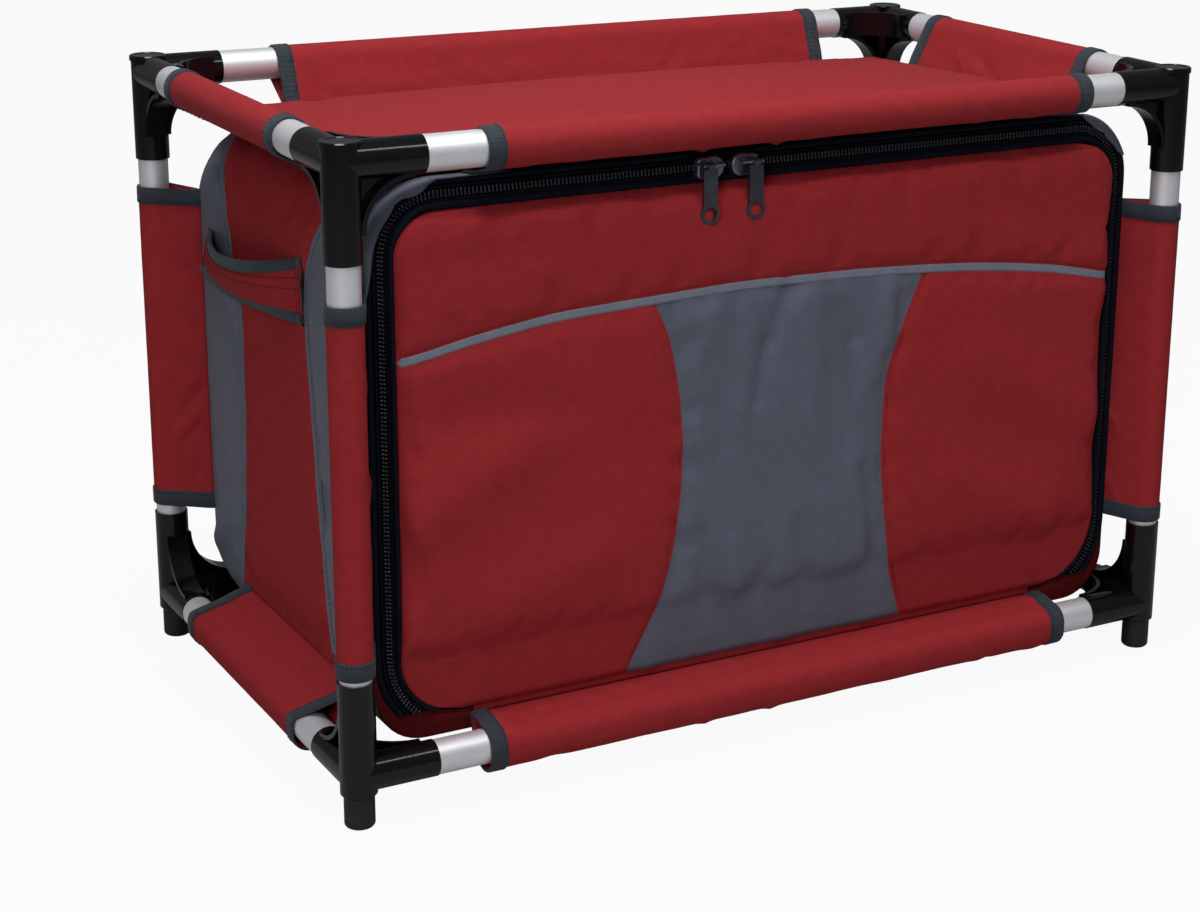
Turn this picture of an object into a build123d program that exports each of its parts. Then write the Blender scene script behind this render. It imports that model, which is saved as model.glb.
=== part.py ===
"""Camp table with a zipped organizer bag slung inside its tube frame.

Millimetres, +Z up, front towards -Y, origin on the ground under the middle of the table.
The legs are drawn pushed in, as the table is carried and stored.
"""

import os

from build123d import *

os.makedirs("parts", exist_ok=True)

# Overall size, over the corner fittings and with the legs pushed in
WIDTH = 685.8
DEPTH = 406.4
HEIGHT = 461.0

# Tube frame
CAP_R = 13.5
POST_X = WIDTH / 2 - CAP_R
POST_Y = DEPTH / 2 - CAP_R
POST_R = 11.0
POST_WALL = 1.2
RAIL_R = 12.0
RAIL_WALL = 1.35
BASE_RAIL_Z = 37.0
FIT_GAP = 0.05

# Moulded corner fittings
CAP_THICK = 4.0
CAP_BEVEL = 0.8
CAP_LIP = 3.0
CAP_DISH = 0.35
ARM_R = 12.6
TOP_RAIL_Z = 448.0
ARM_REACH = 54.0
SPIGOT_LENGTH = 30.0
CORE_R = 8.2
CORE_FLOOR = 20.0
SLEEVE_R = 12.5
TOP_SLEEVE_LOW = 383.5
BASE_SLEEVE_LOW = 23.2
BASE_SLEEVE_HIGH = 103.5
TOP_ARC_R = 34.0
BASE_ARC_R = 36.0
WEB = 3.6
RIM = 3.0
RIM_WIDTH = 16.0
FLAT_RIM_WIDTH = 20.0
POST_STOP = 14.0

# Telescopic legs
LEG_R = POST_R - POST_WALL - 0.06
LEG_WALL = 1.1
LEG_TOP = 350.0
FOOT_R = 10.4
FOOT_SOLE = 3.0
FOOT_FILLET = 3.0
LOCK_LENGTH = 18.0
LOCK_STEM = 15.0

# Fabric loops that hold the bag and the tray to the tubes
CLOTH = 0.9
TIP_R = 1.2
LOOP_R = RAIL_R + CLOTH + FIT_GAP
TRAY_LOOP_SLACK = 1.0
BASE_LOOP_SLACK = 4.5
POST_LOOP_R = 12.1
# Middle along the tube and length of each loop; the cloth has crept along the tubes as it hangs
LOOP_SPANS = {
    "tray": {"front": (5.5, 479.0), "rear": (9.0, 482.0), "left": (4.0, 214.0), "right": (4.0, 214.0)},
    "base": {"front": (4.0, 484.0), "rear": (4.0, 484.0), "left": (8.0, 222.0), "right": (8.0, 222.0)},
}
# Lower and upper end of the loops round the front and the rear posts
POST_LOOP_ENDS = {-1: (107.5, 357.0), 1: (112.0, 362.0)}

# Organizer bag
BAG_X = 307.0
BAG_FRONT = -168.0
BAG_REAR = 171.0
BAG_REAR_TOP = 178.0
BAG_BOTTOM = 42.0
BAG_TOP = 427.0
ROOF_REAR_Z = 417.0
ROOF_KNEE_Y = 114.0
TOP_CORNER_R = 50.0
BASE_CORNER_R = 36.0
LEAST_R = 15.0
REAR_TOP_R = 45.0
REAR_BASE_R = 52.0
SKIN = 2.5
BOARD = 3.0
BOARD_FRONT = -155.0
BOARD_REAR = 112.0
SHELF_Z = 238.0

# Zip and door
ZIP_HALF = 10.0
TAPE = 1.4
CHAIN = 2.6
CHAIN_PROUD = 1.3
ZIP_SPLIT = 0.35
ZIP_CORNER_R = 65.8
ZIP_END = 62.0
DOOR_BOTTOM = 59.0
DOOR_INSET = 20.8
DOOR_BACK = -166.5
# How much nearer the door's sides come to the outline than its top
DOOR_SPREAD = 4.2
# Depth, inset from the outline, lower edge and spread of each layer of the door's padding
DOOR_PADDING = (
    (-170.5, DOOR_INSET, DOOR_BOTTOM, DOOR_SPREAD),
    (-174.0, 21.6, 86.0, 4.6),
    (-177.5, 24.5, 112.0, 6.5),
    (-179.5, 30.0, 120.0, 9.0),
    (-180.8, 42.0, 134.0, 14.0),
    (-181.4, 62.0, 154.0, 20.0),
)

# Zip sliders and their pulls
SLIDER_LEFT_X = -57.5
SLIDER_RIGHT_X = -31.5
NOSE_R = 8.2
NOSE_X = 2.0
TAIL_R = 3.0
TAIL_X = 8.0
TAIL_Z = 4.4
SLIDER_DEPTH = 5.5
SLIDER_FILLET = 2.0
BAIL_Y = -182.8
BAIL_R = 1.2
BAIL_RISE = 3.0
BAIL_NOSE_LEG = 5.0
BAIL_TAIL_LEG = 9.5
EYE_R = 2.6
EYE_WIDTH = 5.0
EYE_X = 5.0
PULL_WIDTH = 10.8
PULL_LENGTH = 40.5
PULL_THICK = 2.2
PULL_CORNER = 2.5
PULL_RING_R = 7.3
PULL_HOLE_R = 4.7

# Tray floor
FLOOR_X = 302.0
FLOOR_FRONT = -160.0
FLOOR_REAR = 166.0
FLOOR_EDGE = 3.0
FLOOR_CROWN = 17.0

# Side carry handles
HANDLE_FRONT = -70.0
HANDLE_REAR = 136.0
HANDLE_TAB = 12.0
HANDLE_BULGE = 15.0
HANDLE_THICK = 2.4
# Heights of the handle's edges at its front end, middle and rear end
HANDLE_LOWER = (310.0, 299.0, 309.0)
HANDLE_UPPER = (351.0, 330.0, 335.0)

CORNERS = {
    "front_left": (-1, -1),
    "front_right": (1, -1),
    "rear_left": (-1, 1),
    "rear_right": (1, 1),
}


def save(block, name):
    """Labels a finished piece and writes it under its own name."""
    block.part.label = name
    export_step(block.part, f"parts/{name}.step")


def roof_z(y):
    """Height of the bag's sloping roof at a depth y."""
    share = (y - BAG_FRONT) / (ROOF_KNEE_Y - BAG_FRONT)
    return BAG_TOP + (ROOF_REAR_Z - BAG_TOP) * min(1.0, share)


def rear_y(z):
    """Depth of the bag's leaning rear wall at a height z."""
    share = (z - BAG_BOTTOM) / (ROOF_REAR_Z - BAG_BOTTOM)
    return BAG_REAR + (BAG_REAR_TOP - BAG_REAR) * share


# Corner fittings: a post sleeve, two arms with spigots for the rails, and three arched webs


def corner_fitting(name, side_x, side_y, rail_z, low, high, arc_r, lift):
    """lift is +1 where the webs rise from the arms and -1 where they hang below them.

    The front base fittings have no web over the front arm, where the door swings down.
    """
    post_x = side_x * POST_X
    post_y = side_y * POST_Y
    web_side = ARM_R + arc_r
    inward_x = Plane((post_x, post_y, rail_z), x_dir=(-side_x, 0, 0), z_dir=(0, side_x, 0))
    inward_y = Plane((post_x, post_y, rail_z), x_dir=(0, -side_y, 0), z_dir=(-side_y, 0, 0))
    flat = Plane((post_x, post_y, rail_z), x_dir=(-side_x, 0, 0), z_dir=(0, 0, side_x * side_y))
    with BuildPart() as fitting:
        with BuildSketch(Plane((post_x, post_y, low))):
            Circle(SLEEVE_R)
        extrude(amount=high - low - (CAP_DISH + 1 if lift < 0 else 0))
        for arm in (inward_x, inward_y):
            arm_start = Plane(arm.origin, x_dir=arm.y_dir, z_dir=arm.x_dir)
            with BuildSketch(arm_start):
                Circle(ARM_R)
            extrude(amount=ARM_REACH)
            with BuildSketch(arm_start.offset(ARM_REACH)):
                Circle(RAIL_R - RAIL_WALL - FIT_GAP)
            extrude(amount=SPIGOT_LENGTH, taper=0.4)
        webs = [(inward_y, lift, RIM_WIDTH), (flat, 1, FLAT_RIM_WIDTH)]
        if side_y > 0 or lift < 0:
            webs.append((inward_x, lift, RIM_WIDTH))
        for web, up, rim_width in webs:
            arch_centre = (web_side, up * web_side)
            with BuildSketch(web):
                with Locations((web_side / 2, up * web_side / 2)):
                    Rectangle(web_side, web_side)
                with Locations(arch_centre):
                    Circle(arc_r, mode=Mode.SUBTRACT)
            extrude(amount=WEB / 2, both=True)
            with BuildSketch(web):
                with Locations(arch_centre):
                    Circle(arc_r + RIM)
                    Circle(arc_r, mode=Mode.SUBTRACT)
                with Locations((web_side / 2, up * web_side / 2)):
                    Rectangle(web_side, web_side, mode=Mode.INTERSECT)
            extrude(amount=rim_width / 2, both=True)
        for arm in (inward_x, inward_y):
            core_start = Plane(arm.origin, x_dir=arm.y_dir, z_dir=arm.x_dir).offset(CORE_FLOOR)
            with BuildSketch(core_start):
                Circle(CORE_R)
            extrude(amount=ARM_REACH + SPIGOT_LENGTH, mode=Mode.SUBTRACT)
        if lift < 0:
            with BuildSketch(Plane((post_x, post_y, high), x_dir=(1, 0, 0), z_dir=(0, -1, 0))):
                with BuildLine():
                    Polyline(
                        (0, -CAP_THICK),
                        (CAP_R, -CAP_THICK),
                        (CAP_R, -CAP_BEVEL),
                        (CAP_R - CAP_BEVEL, 0),
                        (CAP_R - CAP_LIP, 0),
                        (CAP_R - CAP_LIP - CAP_DISH, -CAP_DISH),
                        (0, -CAP_DISH),
                        close=True,
                    )
                make_face()
            revolve(axis=Axis((post_x, post_y, 0), (0, 0, 1)))
            with BuildSketch(Plane((post_x, post_y, low))):
                Circle(POST_R + FIT_GAP)
            extrude(amount=rail_z - POST_STOP + 0.2 - low, mode=Mode.SUBTRACT)
        else:
            post_seat = rail_z + 3
            with BuildSketch(Plane((post_x, post_y, post_seat))):
                Circle(POST_R + FIT_GAP)
            extrude(amount=high - post_seat, mode=Mode.SUBTRACT)
            with BuildSketch(Plane((post_x, post_y, low))):
                Circle(LEG_R + 0.08)
            extrude(amount=post_seat - low, mode=Mode.SUBTRACT)
            base_edge = fitting.edges().filter_by(GeomType.CIRCLE).group_by(Axis.Z)[0]
            chamfer(base_edge.sort_by(SortBy.RADIUS)[-1], 1.0)
    save(fitting, name)


for corner, (side_x, side_y) in CORNERS.items():
    corner_fitting(
        f"top_corner_{corner}", side_x, side_y, TOP_RAIL_Z, TOP_SLEEVE_LOW, HEIGHT, TOP_ARC_R, -1
    )
    corner_fitting(
        f"base_corner_{corner}",
        side_x,
        side_y,
        BASE_RAIL_Z,
        BASE_SLEEVE_LOW,
        BASE_SLEEVE_HIGH,
        BASE_ARC_R,
        1,
    )

# Posts: aluminium tubes from one fitting to the other

POST_LOW = BASE_RAIL_Z + 3.2
POST_HIGH = TOP_RAIL_Z - POST_STOP

for corner, (side_x, side_y) in CORNERS.items():
    with BuildPart() as post:
        with BuildSketch(Plane((side_x * POST_X, side_y * POST_Y, POST_LOW))):
            Circle(POST_R)
            Circle(POST_R - POST_WALL, mode=Mode.SUBTRACT)
        extrude(amount=POST_HIGH - POST_LOW)
    save(post, f"post_{corner}")

# Rails: aluminium tubes pushed over the fittings' spigots, up to the arms

LONG_RAIL = 2 * (POST_X - ARM_REACH - FIT_GAP)
SHORT_RAIL = 2 * (POST_Y - ARM_REACH - FIT_GAP)


def rail(name, plane, length):
    """A rail tube centred on the plane's origin, along its normal."""
    with BuildPart() as tube:
        with BuildSketch(plane):
            Circle(RAIL_R)
            Circle(RAIL_R - RAIL_WALL, mode=Mode.SUBTRACT)
        extrude(amount=length / 2, both=True)
    save(tube, name)


for level, rail_z in (("top", TOP_RAIL_Z), ("base", BASE_RAIL_Z)):
    for end, side in (("front", -1), ("rear", 1)):
        rail(f"{level}_rail_{end}", Plane((0, side * POST_Y, rail_z), z_dir=(1, 0, 0)), LONG_RAIL)
    for end, side in (("left", -1), ("right", 1)):
        rail(f"{level}_rail_{end}", Plane((side * POST_X, 0, rail_z), z_dir=(0, 1, 0)), SHORT_RAIL)

# Legs: an inner tube that slides down out of each post, with a rubber foot and a lock inside

for corner, (side_x, side_y) in CORNERS.items():
    leg_x = side_x * POST_X
    leg_y = side_y * POST_Y
    with BuildPart() as leg:
        with BuildSketch(Plane((leg_x, leg_y, FOOT_SOLE))):
            Circle(LEG_R)
            Circle(LEG_R - LEG_WALL, mode=Mode.SUBTRACT)
        extrude(amount=LEG_TOP - FOOT_SOLE)
    save(leg, f"leg_tube_{corner}")

    with BuildPart() as foot:
        with BuildSketch(Plane((leg_x, leg_y, 0))):
            Circle(FOOT_R)
        extrude(amount=BASE_SLEEVE_LOW - 0.2)
        fillet(foot.edges().filter_by(GeomType.CIRCLE).sort_by(Axis.Z)[0], FOOT_FILLET)
        with BuildSketch(Plane((leg_x, leg_y, FOOT_SOLE))):
            Circle(LEG_R + 0.02)
        extrude(amount=BASE_SLEEVE_LOW, mode=Mode.SUBTRACT)
    save(foot, f"foot_{corner}")

    # An eccentric on the stem wedges the plug in the post when the leg is twisted
    with BuildPart() as lock:
        with BuildSketch(Plane((leg_x, leg_y, LEG_TOP - LOCK_STEM))):
            Circle(LEG_R - LEG_WALL - FIT_GAP)
        extrude(amount=LOCK_STEM)
        with BuildSketch(Plane((leg_x, leg_y, LEG_TOP))):
            Circle(LEG_R - 0.4)
        extrude(amount=LOCK_LENGTH)
        with BuildSketch(Plane((leg_x, leg_y, LEG_TOP + 5))):
            Circle(LEG_R)
            Circle(LEG_R - 2.2, mode=Mode.SUBTRACT)
            with Locations((LEG_R, 0)):
                Rectangle(LEG_R, 2, mode=Mode.SUBTRACT)
        extrude(amount=LOCK_LENGTH - 10)
        chamfer(lock.edges().filter_by(GeomType.CIRCLE).sort_by(Axis.Z)[-1], 1.5)
    save(lock, f"leg_lock_{corner}")

# Fabric loops: each wraps a tube and narrows to the seam that joins it to the bag or tray


def fabric_loop(name, plane, loop_r, tip, length, slack=0.0):
    """The tube's axis is the plane's normal, tip is the seam, and slack is how far the cloth hangs."""
    with BuildPart() as loop:
        for depth, mode in ((0, Mode.ADD), (CLOTH, Mode.SUBTRACT)):
            with BuildSketch(plane):
                with BuildLine():
                    CenterArc((0, 0), loop_r - depth, 0, 360)
                    CenterArc((0, -slack), loop_r - depth, 0, 360)
                    CenterArc(tip, TIP_R - depth, 0, 360)
                make_hull()
            extrude(amount=length / 2, both=True, mode=mode)
    save(loop, name)


TRAY_SEAM_X = FLOOR_X + TIP_R + 0.1
TRAY_SEAM_FRONT = FLOOR_FRONT - TIP_R - 0.1
TRAY_SEAM_REAR = FLOOR_REAR + TIP_R + 0.1

tray_front_tip = (TRAY_SEAM_FRONT + POST_Y, roof_z(FLOOR_FRONT) + 2 - TOP_RAIL_Z)
tray_rear_tip = (POST_Y - TRAY_SEAM_REAR, roof_z(FLOOR_REAR) + 2 - TOP_RAIL_Z)
tray_side_tip = (POST_X - TRAY_SEAM_X, roof_z(0) + 1 - TOP_RAIL_Z)

base_front_tip = (POST_Y + BAG_FRONT - TIP_R - 0.2, 52.0 - BASE_RAIL_Z)
base_rear_tip = (POST_Y - BAG_REAR + 4.5, 68.0 - BASE_RAIL_Z)
base_side_tip = (POST_X - BAG_X - TIP_R - 0.2, 66.0 - BASE_RAIL_Z)

for level, rail_z, slack, tips in (
    ("tray", TOP_RAIL_Z, TRAY_LOOP_SLACK, (tray_front_tip, tray_rear_tip, tray_side_tip)),
    ("base", BASE_RAIL_Z, BASE_LOOP_SLACK, (base_front_tip, base_rear_tip, base_side_tip)),
):
    front_tip, rear_tip, side_tip = tips
    for end, (middle, length) in LOOP_SPANS[level].items():
        if end == "front":
            tube = Plane((middle, -POST_Y, rail_z), x_dir=(0, 1, 0), z_dir=(1, 0, 0))
            tip = front_tip
        elif end == "rear":
            tube = Plane((middle, POST_Y, rail_z), x_dir=(0, -1, 0), z_dir=(-1, 0, 0))
            tip = rear_tip
        elif end == "left":
            tube = Plane((-POST_X, middle, rail_z), x_dir=(1, 0, 0), z_dir=(0, -1, 0))
            tip = side_tip
        else:
            tube = Plane((POST_X, middle, rail_z), x_dir=(-1, 0, 0), z_dir=(0, 1, 0))
            tip = side_tip
        fabric_loop(f"{level}_loop_{end}", tube, LOOP_R, tip, length, slack)

POST_SEAM_FRONT = BAG_FRONT + 9
POST_SEAM_REAR = BAG_REAR - 13

for corner, (side_x, side_y) in CORNERS.items():
    seam_y = POST_SEAM_REAR if side_y > 0 else POST_SEAM_FRONT
    tip = (POST_X - BAG_X - TIP_R - 0.2, abs(side_y * POST_Y - seam_y))
    low, high = POST_LOOP_ENDS[side_y]
    middle = Plane(
        (side_x * POST_X, side_y * POST_Y, (low + high) / 2),
        x_dir=(-side_x, 0, 0),
        z_dir=(0, 0, side_x * side_y),
    )
    fabric_loop(f"post_loop_{corner}", middle, POST_LOOP_R, tip, high - low)

# Bag shell: side profile crossed with the front outline, hollow and open at the front


def outline(depth, inset, low, base_r, spread=0.0):
    """A rounded front outline at a depth y, inset from the bag's top and sides, down to low.

    spread widens it again on both sides.
    """
    high = BAG_TOP - inset
    half = BAG_X - inset + spread
    top_r = max(TOP_CORNER_R - inset, LEAST_R)
    base_r = max(base_r - inset, LEAST_R)
    with BuildSketch(Plane.XZ.offset(-depth)) as shape:
        with BuildLine():
            FilletPolyline(
                (half, high),
                (half, low),
                (-half, low),
                (-half, high),
                radius=[top_r, base_r, base_r, top_r],
                close=True,
            )
        make_face()
    return shape.sketch


def bag_block(inset):
    """The bag's outer form, or with an inset its inside."""
    low = BAG_BOTTOM + inset
    with BuildPart() as block:
        with BuildSketch(Plane.YZ):
            with BuildLine():
                FilletPolyline(
                    (BAG_FRONT + inset, BAG_TOP - inset),
                    (ROOF_KNEE_Y, ROOF_REAR_Z - inset),
                    (BAG_REAR_TOP - inset, ROOF_REAR_Z - inset),
                    (BAG_REAR - inset, low),
                    (BAG_FRONT + inset, low),
                    radius=[0, 0, REAR_TOP_R - inset - 1, REAR_BASE_R - inset, 0],
                    close=True,
                )
            make_face()
        extrude(amount=BAG_X, both=True)
        front_outline = outline(0, inset, low, BASE_CORNER_R)
        extrude(front_outline, amount=DEPTH, both=True, mode=Mode.INTERSECT)
    return block.part


bag_outside = bag_block(0)
bag_inside = bag_block(SKIN)

with BuildPart() as bag_shell:
    add(bag_outside)
    add(bag_inside, mode=Mode.SUBTRACT)
    mouth = outline(BAG_FRONT + SKIN + 1, ZIP_HALF - ZIP_SPLIT, DOOR_BOTTOM - 2, ZIP_CORNER_R)
    extrude(mouth, amount=SKIN + 2, mode=Mode.SUBTRACT)
save(bag_shell, "bag_shell")

# Zip: one tape and half of the chain on the bag, the other on the door


def zip_half(name, chain_inset, tape_inset, spread=0.0):
    """The chain edge is at chain_inset and the sewn edge at tape_inset, from the bag's outline.

    spread is how much further out the sewn edge lies at the sides.
    """
    outer, inner = sorted((chain_inset, tape_inset))
    chain_outer = max(outer, chain_inset - CHAIN)
    chain_inner = min(inner, chain_inset + CHAIN)
    with BuildPart() as half:
        for depth, thick, edges in (
            (BAG_FRONT, TAPE, (outer, inner)),
            (BAG_FRONT - TAPE, CHAIN_PROUD, (chain_outer, chain_inner)),
        ):
            for edge, mode in zip(edges, (Mode.ADD, Mode.SUBTRACT)):
                widen = spread if edge == tape_inset else 0.0
                ring = outline(depth, edge, DOOR_BOTTOM - DOOR_INSET + edge, ZIP_CORNER_R, widen)
                extrude(ring, amount=thick, mode=mode)
        with BuildSketch(Plane.XZ):
            with Locations((0, ZIP_END + HEIGHT / 2)):
                Rectangle(WIDTH, HEIGHT)
        extrude(amount=DEPTH / 2, mode=Mode.INTERSECT)
    save(half, name)


zip_half("bag_zip_half", ZIP_HALF - ZIP_SPLIT, 0)
zip_half("door_zip_half", ZIP_HALF + ZIP_SPLIT, DOOR_INSET - FIT_GAP, DOOR_SPREAD)

# Door panel: a padded front that swings down about its lower edge

with BuildPart() as door_panel:
    extrude(
        outline(DOOR_BACK, DOOR_INSET, DOOR_BOTTOM, ZIP_CORNER_R, DOOR_SPREAD),
        amount=DOOR_BACK - DOOR_PADDING[0][0],
    )
    loft(
        [
            outline(depth, inset, low, ZIP_CORNER_R, spread)
            for depth, inset, low, spread in DOOR_PADDING
        ],
        ruled=True,
    )
save(door_panel, "door_panel")

# Zip sliders: a shield with a round nose and a square tail, and an arched bail that holds the pull

for side, slider_x, nose in (("left", SLIDER_LEFT_X, 1), ("right", SLIDER_RIGHT_X, -1)):
    chain_z = BAG_TOP - ZIP_HALF
    bail_z = chain_z + BAIL_RISE
    pull_x = slider_x - nose * EYE_X
    shield_back = -BAG_FRONT + TAPE + CHAIN_PROUD + 0.2
    with BuildPart() as slider:
        with BuildSketch(Plane.XZ.offset(shield_back)):
            with BuildLine():
                CenterArc((slider_x + nose * NOSE_X, chain_z), NOSE_R, 0, 360)
                CenterArc((slider_x - nose * TAIL_X, chain_z - TAIL_Z), TAIL_R, 0, 360)
                CenterArc((slider_x - nose * TAIL_X, chain_z + TAIL_Z), TAIL_R, 0, 360)
            make_hull()
        extrude(amount=SLIDER_DEPTH)
        fillet(slider.faces().sort_by(Axis.Y)[0].edges(), SLIDER_FILLET)
        for leg in (BAIL_NOSE_LEG, -BAIL_TAIL_LEG):
            with BuildSketch(Plane.XZ.offset(shield_back + SLIDER_DEPTH / 2)):
                with Locations((slider_x + nose * leg, bail_z)):
                    Circle(BAIL_R)
            extrude(amount=-BAIL_Y - shield_back - SLIDER_DEPTH / 2)
            with BuildSketch(Plane.YZ.offset(slider_x + nose * leg)):
                with Locations((BAIL_Y, bail_z)):
                    Circle(BAIL_R)
            extrude(amount=BAIL_R, both=True)
        with BuildSketch(Plane.YZ.offset(slider_x + nose * (BAIL_NOSE_LEG - BAIL_TAIL_LEG) / 2)):
            with Locations((BAIL_Y, bail_z)):
                Circle(BAIL_R)
        extrude(amount=(BAIL_NOSE_LEG + BAIL_TAIL_LEG) / 2, both=True)
    save(slider, f"zip_slider_{side}")

    with BuildPart() as pull:
        ring_z = bail_z - PULL_LENGTH + PULL_RING_R
        bar_top = bail_z - EYE_R
        with BuildSketch(Plane.XZ.offset(-BAIL_Y - PULL_THICK / 2)):
            with Locations((pull_x, (bar_top + ring_z) / 2)):
                RectangleRounded(PULL_WIDTH, bar_top - ring_z + 2 * PULL_CORNER, PULL_CORNER)
            with Locations((pull_x, ring_z)):
                Circle(PULL_RING_R)
                Circle(PULL_HOLE_R, mode=Mode.SUBTRACT)
            with Locations((pull_x, bail_z)):
                Rectangle(WIDTH, 2 * EYE_R, mode=Mode.SUBTRACT)
            with Locations((pull_x, bail_z - EYE_R)):
                Rectangle(EYE_WIDTH, 2 * EYE_R)
        extrude(amount=PULL_THICK)
        with BuildSketch(Plane.YZ.offset(pull_x)):
            with Locations((BAIL_Y, bail_z)):
                Circle(EYE_R)
        extrude(amount=EYE_WIDTH / 2, both=True)
        with BuildSketch(Plane.YZ.offset(pull_x)):
            with Locations((BAIL_Y, bail_z)):
                Circle(BAIL_R + 0.06)
        extrude(amount=EYE_WIDTH, both=True, mode=Mode.SUBTRACT)
    save(pull, f"zip_pull_{side}")

# Tray floor: a crowned, padded panel sewn over the bag's roof

with BuildPart() as tray_floor:
    front_z = roof_z(FLOOR_FRONT) + 0.3
    rear_z = roof_z(FLOOR_REAR) + 0.3
    middle_z = (front_z + rear_z) / 2 + FLOOR_EDGE + FLOOR_CROWN
    with BuildSketch(Plane.YZ):
        with BuildLine():
            Polyline(
                (FLOOR_FRONT, front_z + FLOOR_EDGE),
                (FLOOR_FRONT, front_z),
                (FLOOR_REAR, rear_z),
                (FLOOR_REAR, rear_z + FLOOR_EDGE),
            )
            ThreePointArc(
                (FLOOR_FRONT, front_z + FLOOR_EDGE),
                ((FLOOR_FRONT + FLOOR_REAR) / 2, middle_z),
                (FLOOR_REAR, rear_z + FLOOR_EDGE),
            )
        make_face()
    extrude(amount=FLOOR_X, both=True)
    with BuildSketch(Plane.XZ):
        with BuildLine():
            Polyline(
                (-FLOOR_X, front_z + FLOOR_EDGE),
                (-FLOOR_X, BAG_BOTTOM),
                (FLOOR_X, BAG_BOTTOM),
                (FLOOR_X, front_z + FLOOR_EDGE),
            )
            ThreePointArc(
                (-FLOOR_X, front_z + FLOOR_EDGE),
                (0, middle_z + 0.5),
                (FLOOR_X, front_z + FLOOR_EDGE),
            )
        make_face()
    extrude(amount=DEPTH, both=True, mode=Mode.INTERSECT)
save(tray_floor, "tray_floor")

# Stiffening boards inside the bag, and the organizer's shelf and divider

board_gap = 0.2

with BuildPart() as top_board:
    with BuildSketch(Plane.YZ):
        with BuildLine():
            Polyline(
                *[
                    (y, roof_z(y) - SKIN - board_gap - drop)
                    for y, drop in (
                        (BOARD_FRONT, 0),
                        (BOARD_REAR, 0),
                        (BOARD_REAR, BOARD),
                        (BOARD_FRONT, BOARD),
                    )
                ],
                close=True,
            )
        make_face()
    extrude(amount=BAG_X - TOP_CORNER_R, both=True)
save(top_board, "top_board")

base_board_z = BAG_BOTTOM + SKIN + board_gap

with BuildPart() as base_board:
    with BuildSketch(Plane.XY.offset(base_board_z)):
        with Locations((0, (BOARD_FRONT + BOARD_REAR) / 2)):
            RectangleRounded(2 * (BAG_X - BASE_CORNER_R), BOARD_REAR - BOARD_FRONT, 12)
    extrude(amount=BOARD)
save(base_board, "base_board")

shelf_rear = rear_y(SHELF_Z) - SKIN - board_gap

with BuildPart() as shelf_board:
    with BuildSketch(Plane.XY.offset(SHELF_Z)):
        with Locations((0, (BOARD_FRONT + shelf_rear) / 2)):
            Rectangle(2 * (BAG_X - SKIN - board_gap), shelf_rear - BOARD_FRONT)
    extrude(amount=BOARD)
save(shelf_board, "shelf_board")

with BuildPart() as shelf_divider:
    with BuildSketch(Plane.XY.offset(base_board_z + BOARD)):
        with Locations((0, (BOARD_FRONT + BOARD_REAR) / 2)):
            Rectangle(BOARD, BOARD_REAR - BOARD_FRONT)
    extrude(amount=SHELF_Z - base_board_z - BOARD)
save(shelf_divider, "shelf_divider")

# Carry handles: a wide strap bowed out from each side and sewn down at its ends

handle_middle = (HANDLE_FRONT + HANDLE_REAR) / 2

for side, sign in (("left", -1), ("right", 1)):
    tab_x = sign * (BAG_X + FIT_GAP + HANDLE_THICK / 2)
    with BuildPart() as handle:
        with BuildSketch(Plane.XY.offset(min(HANDLE_LOWER))):
            with BuildLine():
                Line((tab_x, HANDLE_FRONT), (tab_x, HANDLE_FRONT + HANDLE_TAB))
                ThreePointArc(
                    (tab_x, HANDLE_FRONT + HANDLE_TAB),
                    (tab_x + sign * HANDLE_BULGE, handle_middle),
                    (tab_x, HANDLE_REAR - HANDLE_TAB),
                )
                Line((tab_x, HANDLE_REAR - HANDLE_TAB), (tab_x, HANDLE_REAR))
            trace(line_width=HANDLE_THICK)
        extrude(amount=max(HANDLE_UPPER) - min(HANDLE_LOWER))
        with BuildSketch(Plane.YZ):
            with BuildLine():
                for front_z, middle_z, rear_z in (HANDLE_LOWER, HANDLE_UPPER):
                    ThreePointArc(
                        (HANDLE_FRONT, front_z), (handle_middle, middle_z), (HANDLE_REAR, rear_z)
                    )
                Line((HANDLE_FRONT, HANDLE_LOWER[0]), (HANDLE_FRONT, HANDLE_UPPER[0]))
                Line((HANDLE_REAR, HANDLE_LOWER[2]), (HANDLE_REAR, HANDLE_UPPER[2]))
            make_face()
        extrude(amount=WIDTH, both=True, mode=Mode.INTERSECT)
    save(handle, f"handle_{side}")
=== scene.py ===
import random
from math import asin, atan2, cos, dist, exp, hypot, pi, radians, sin, sqrt

import bpy
from mathutils import Matrix, Vector, noise


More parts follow.
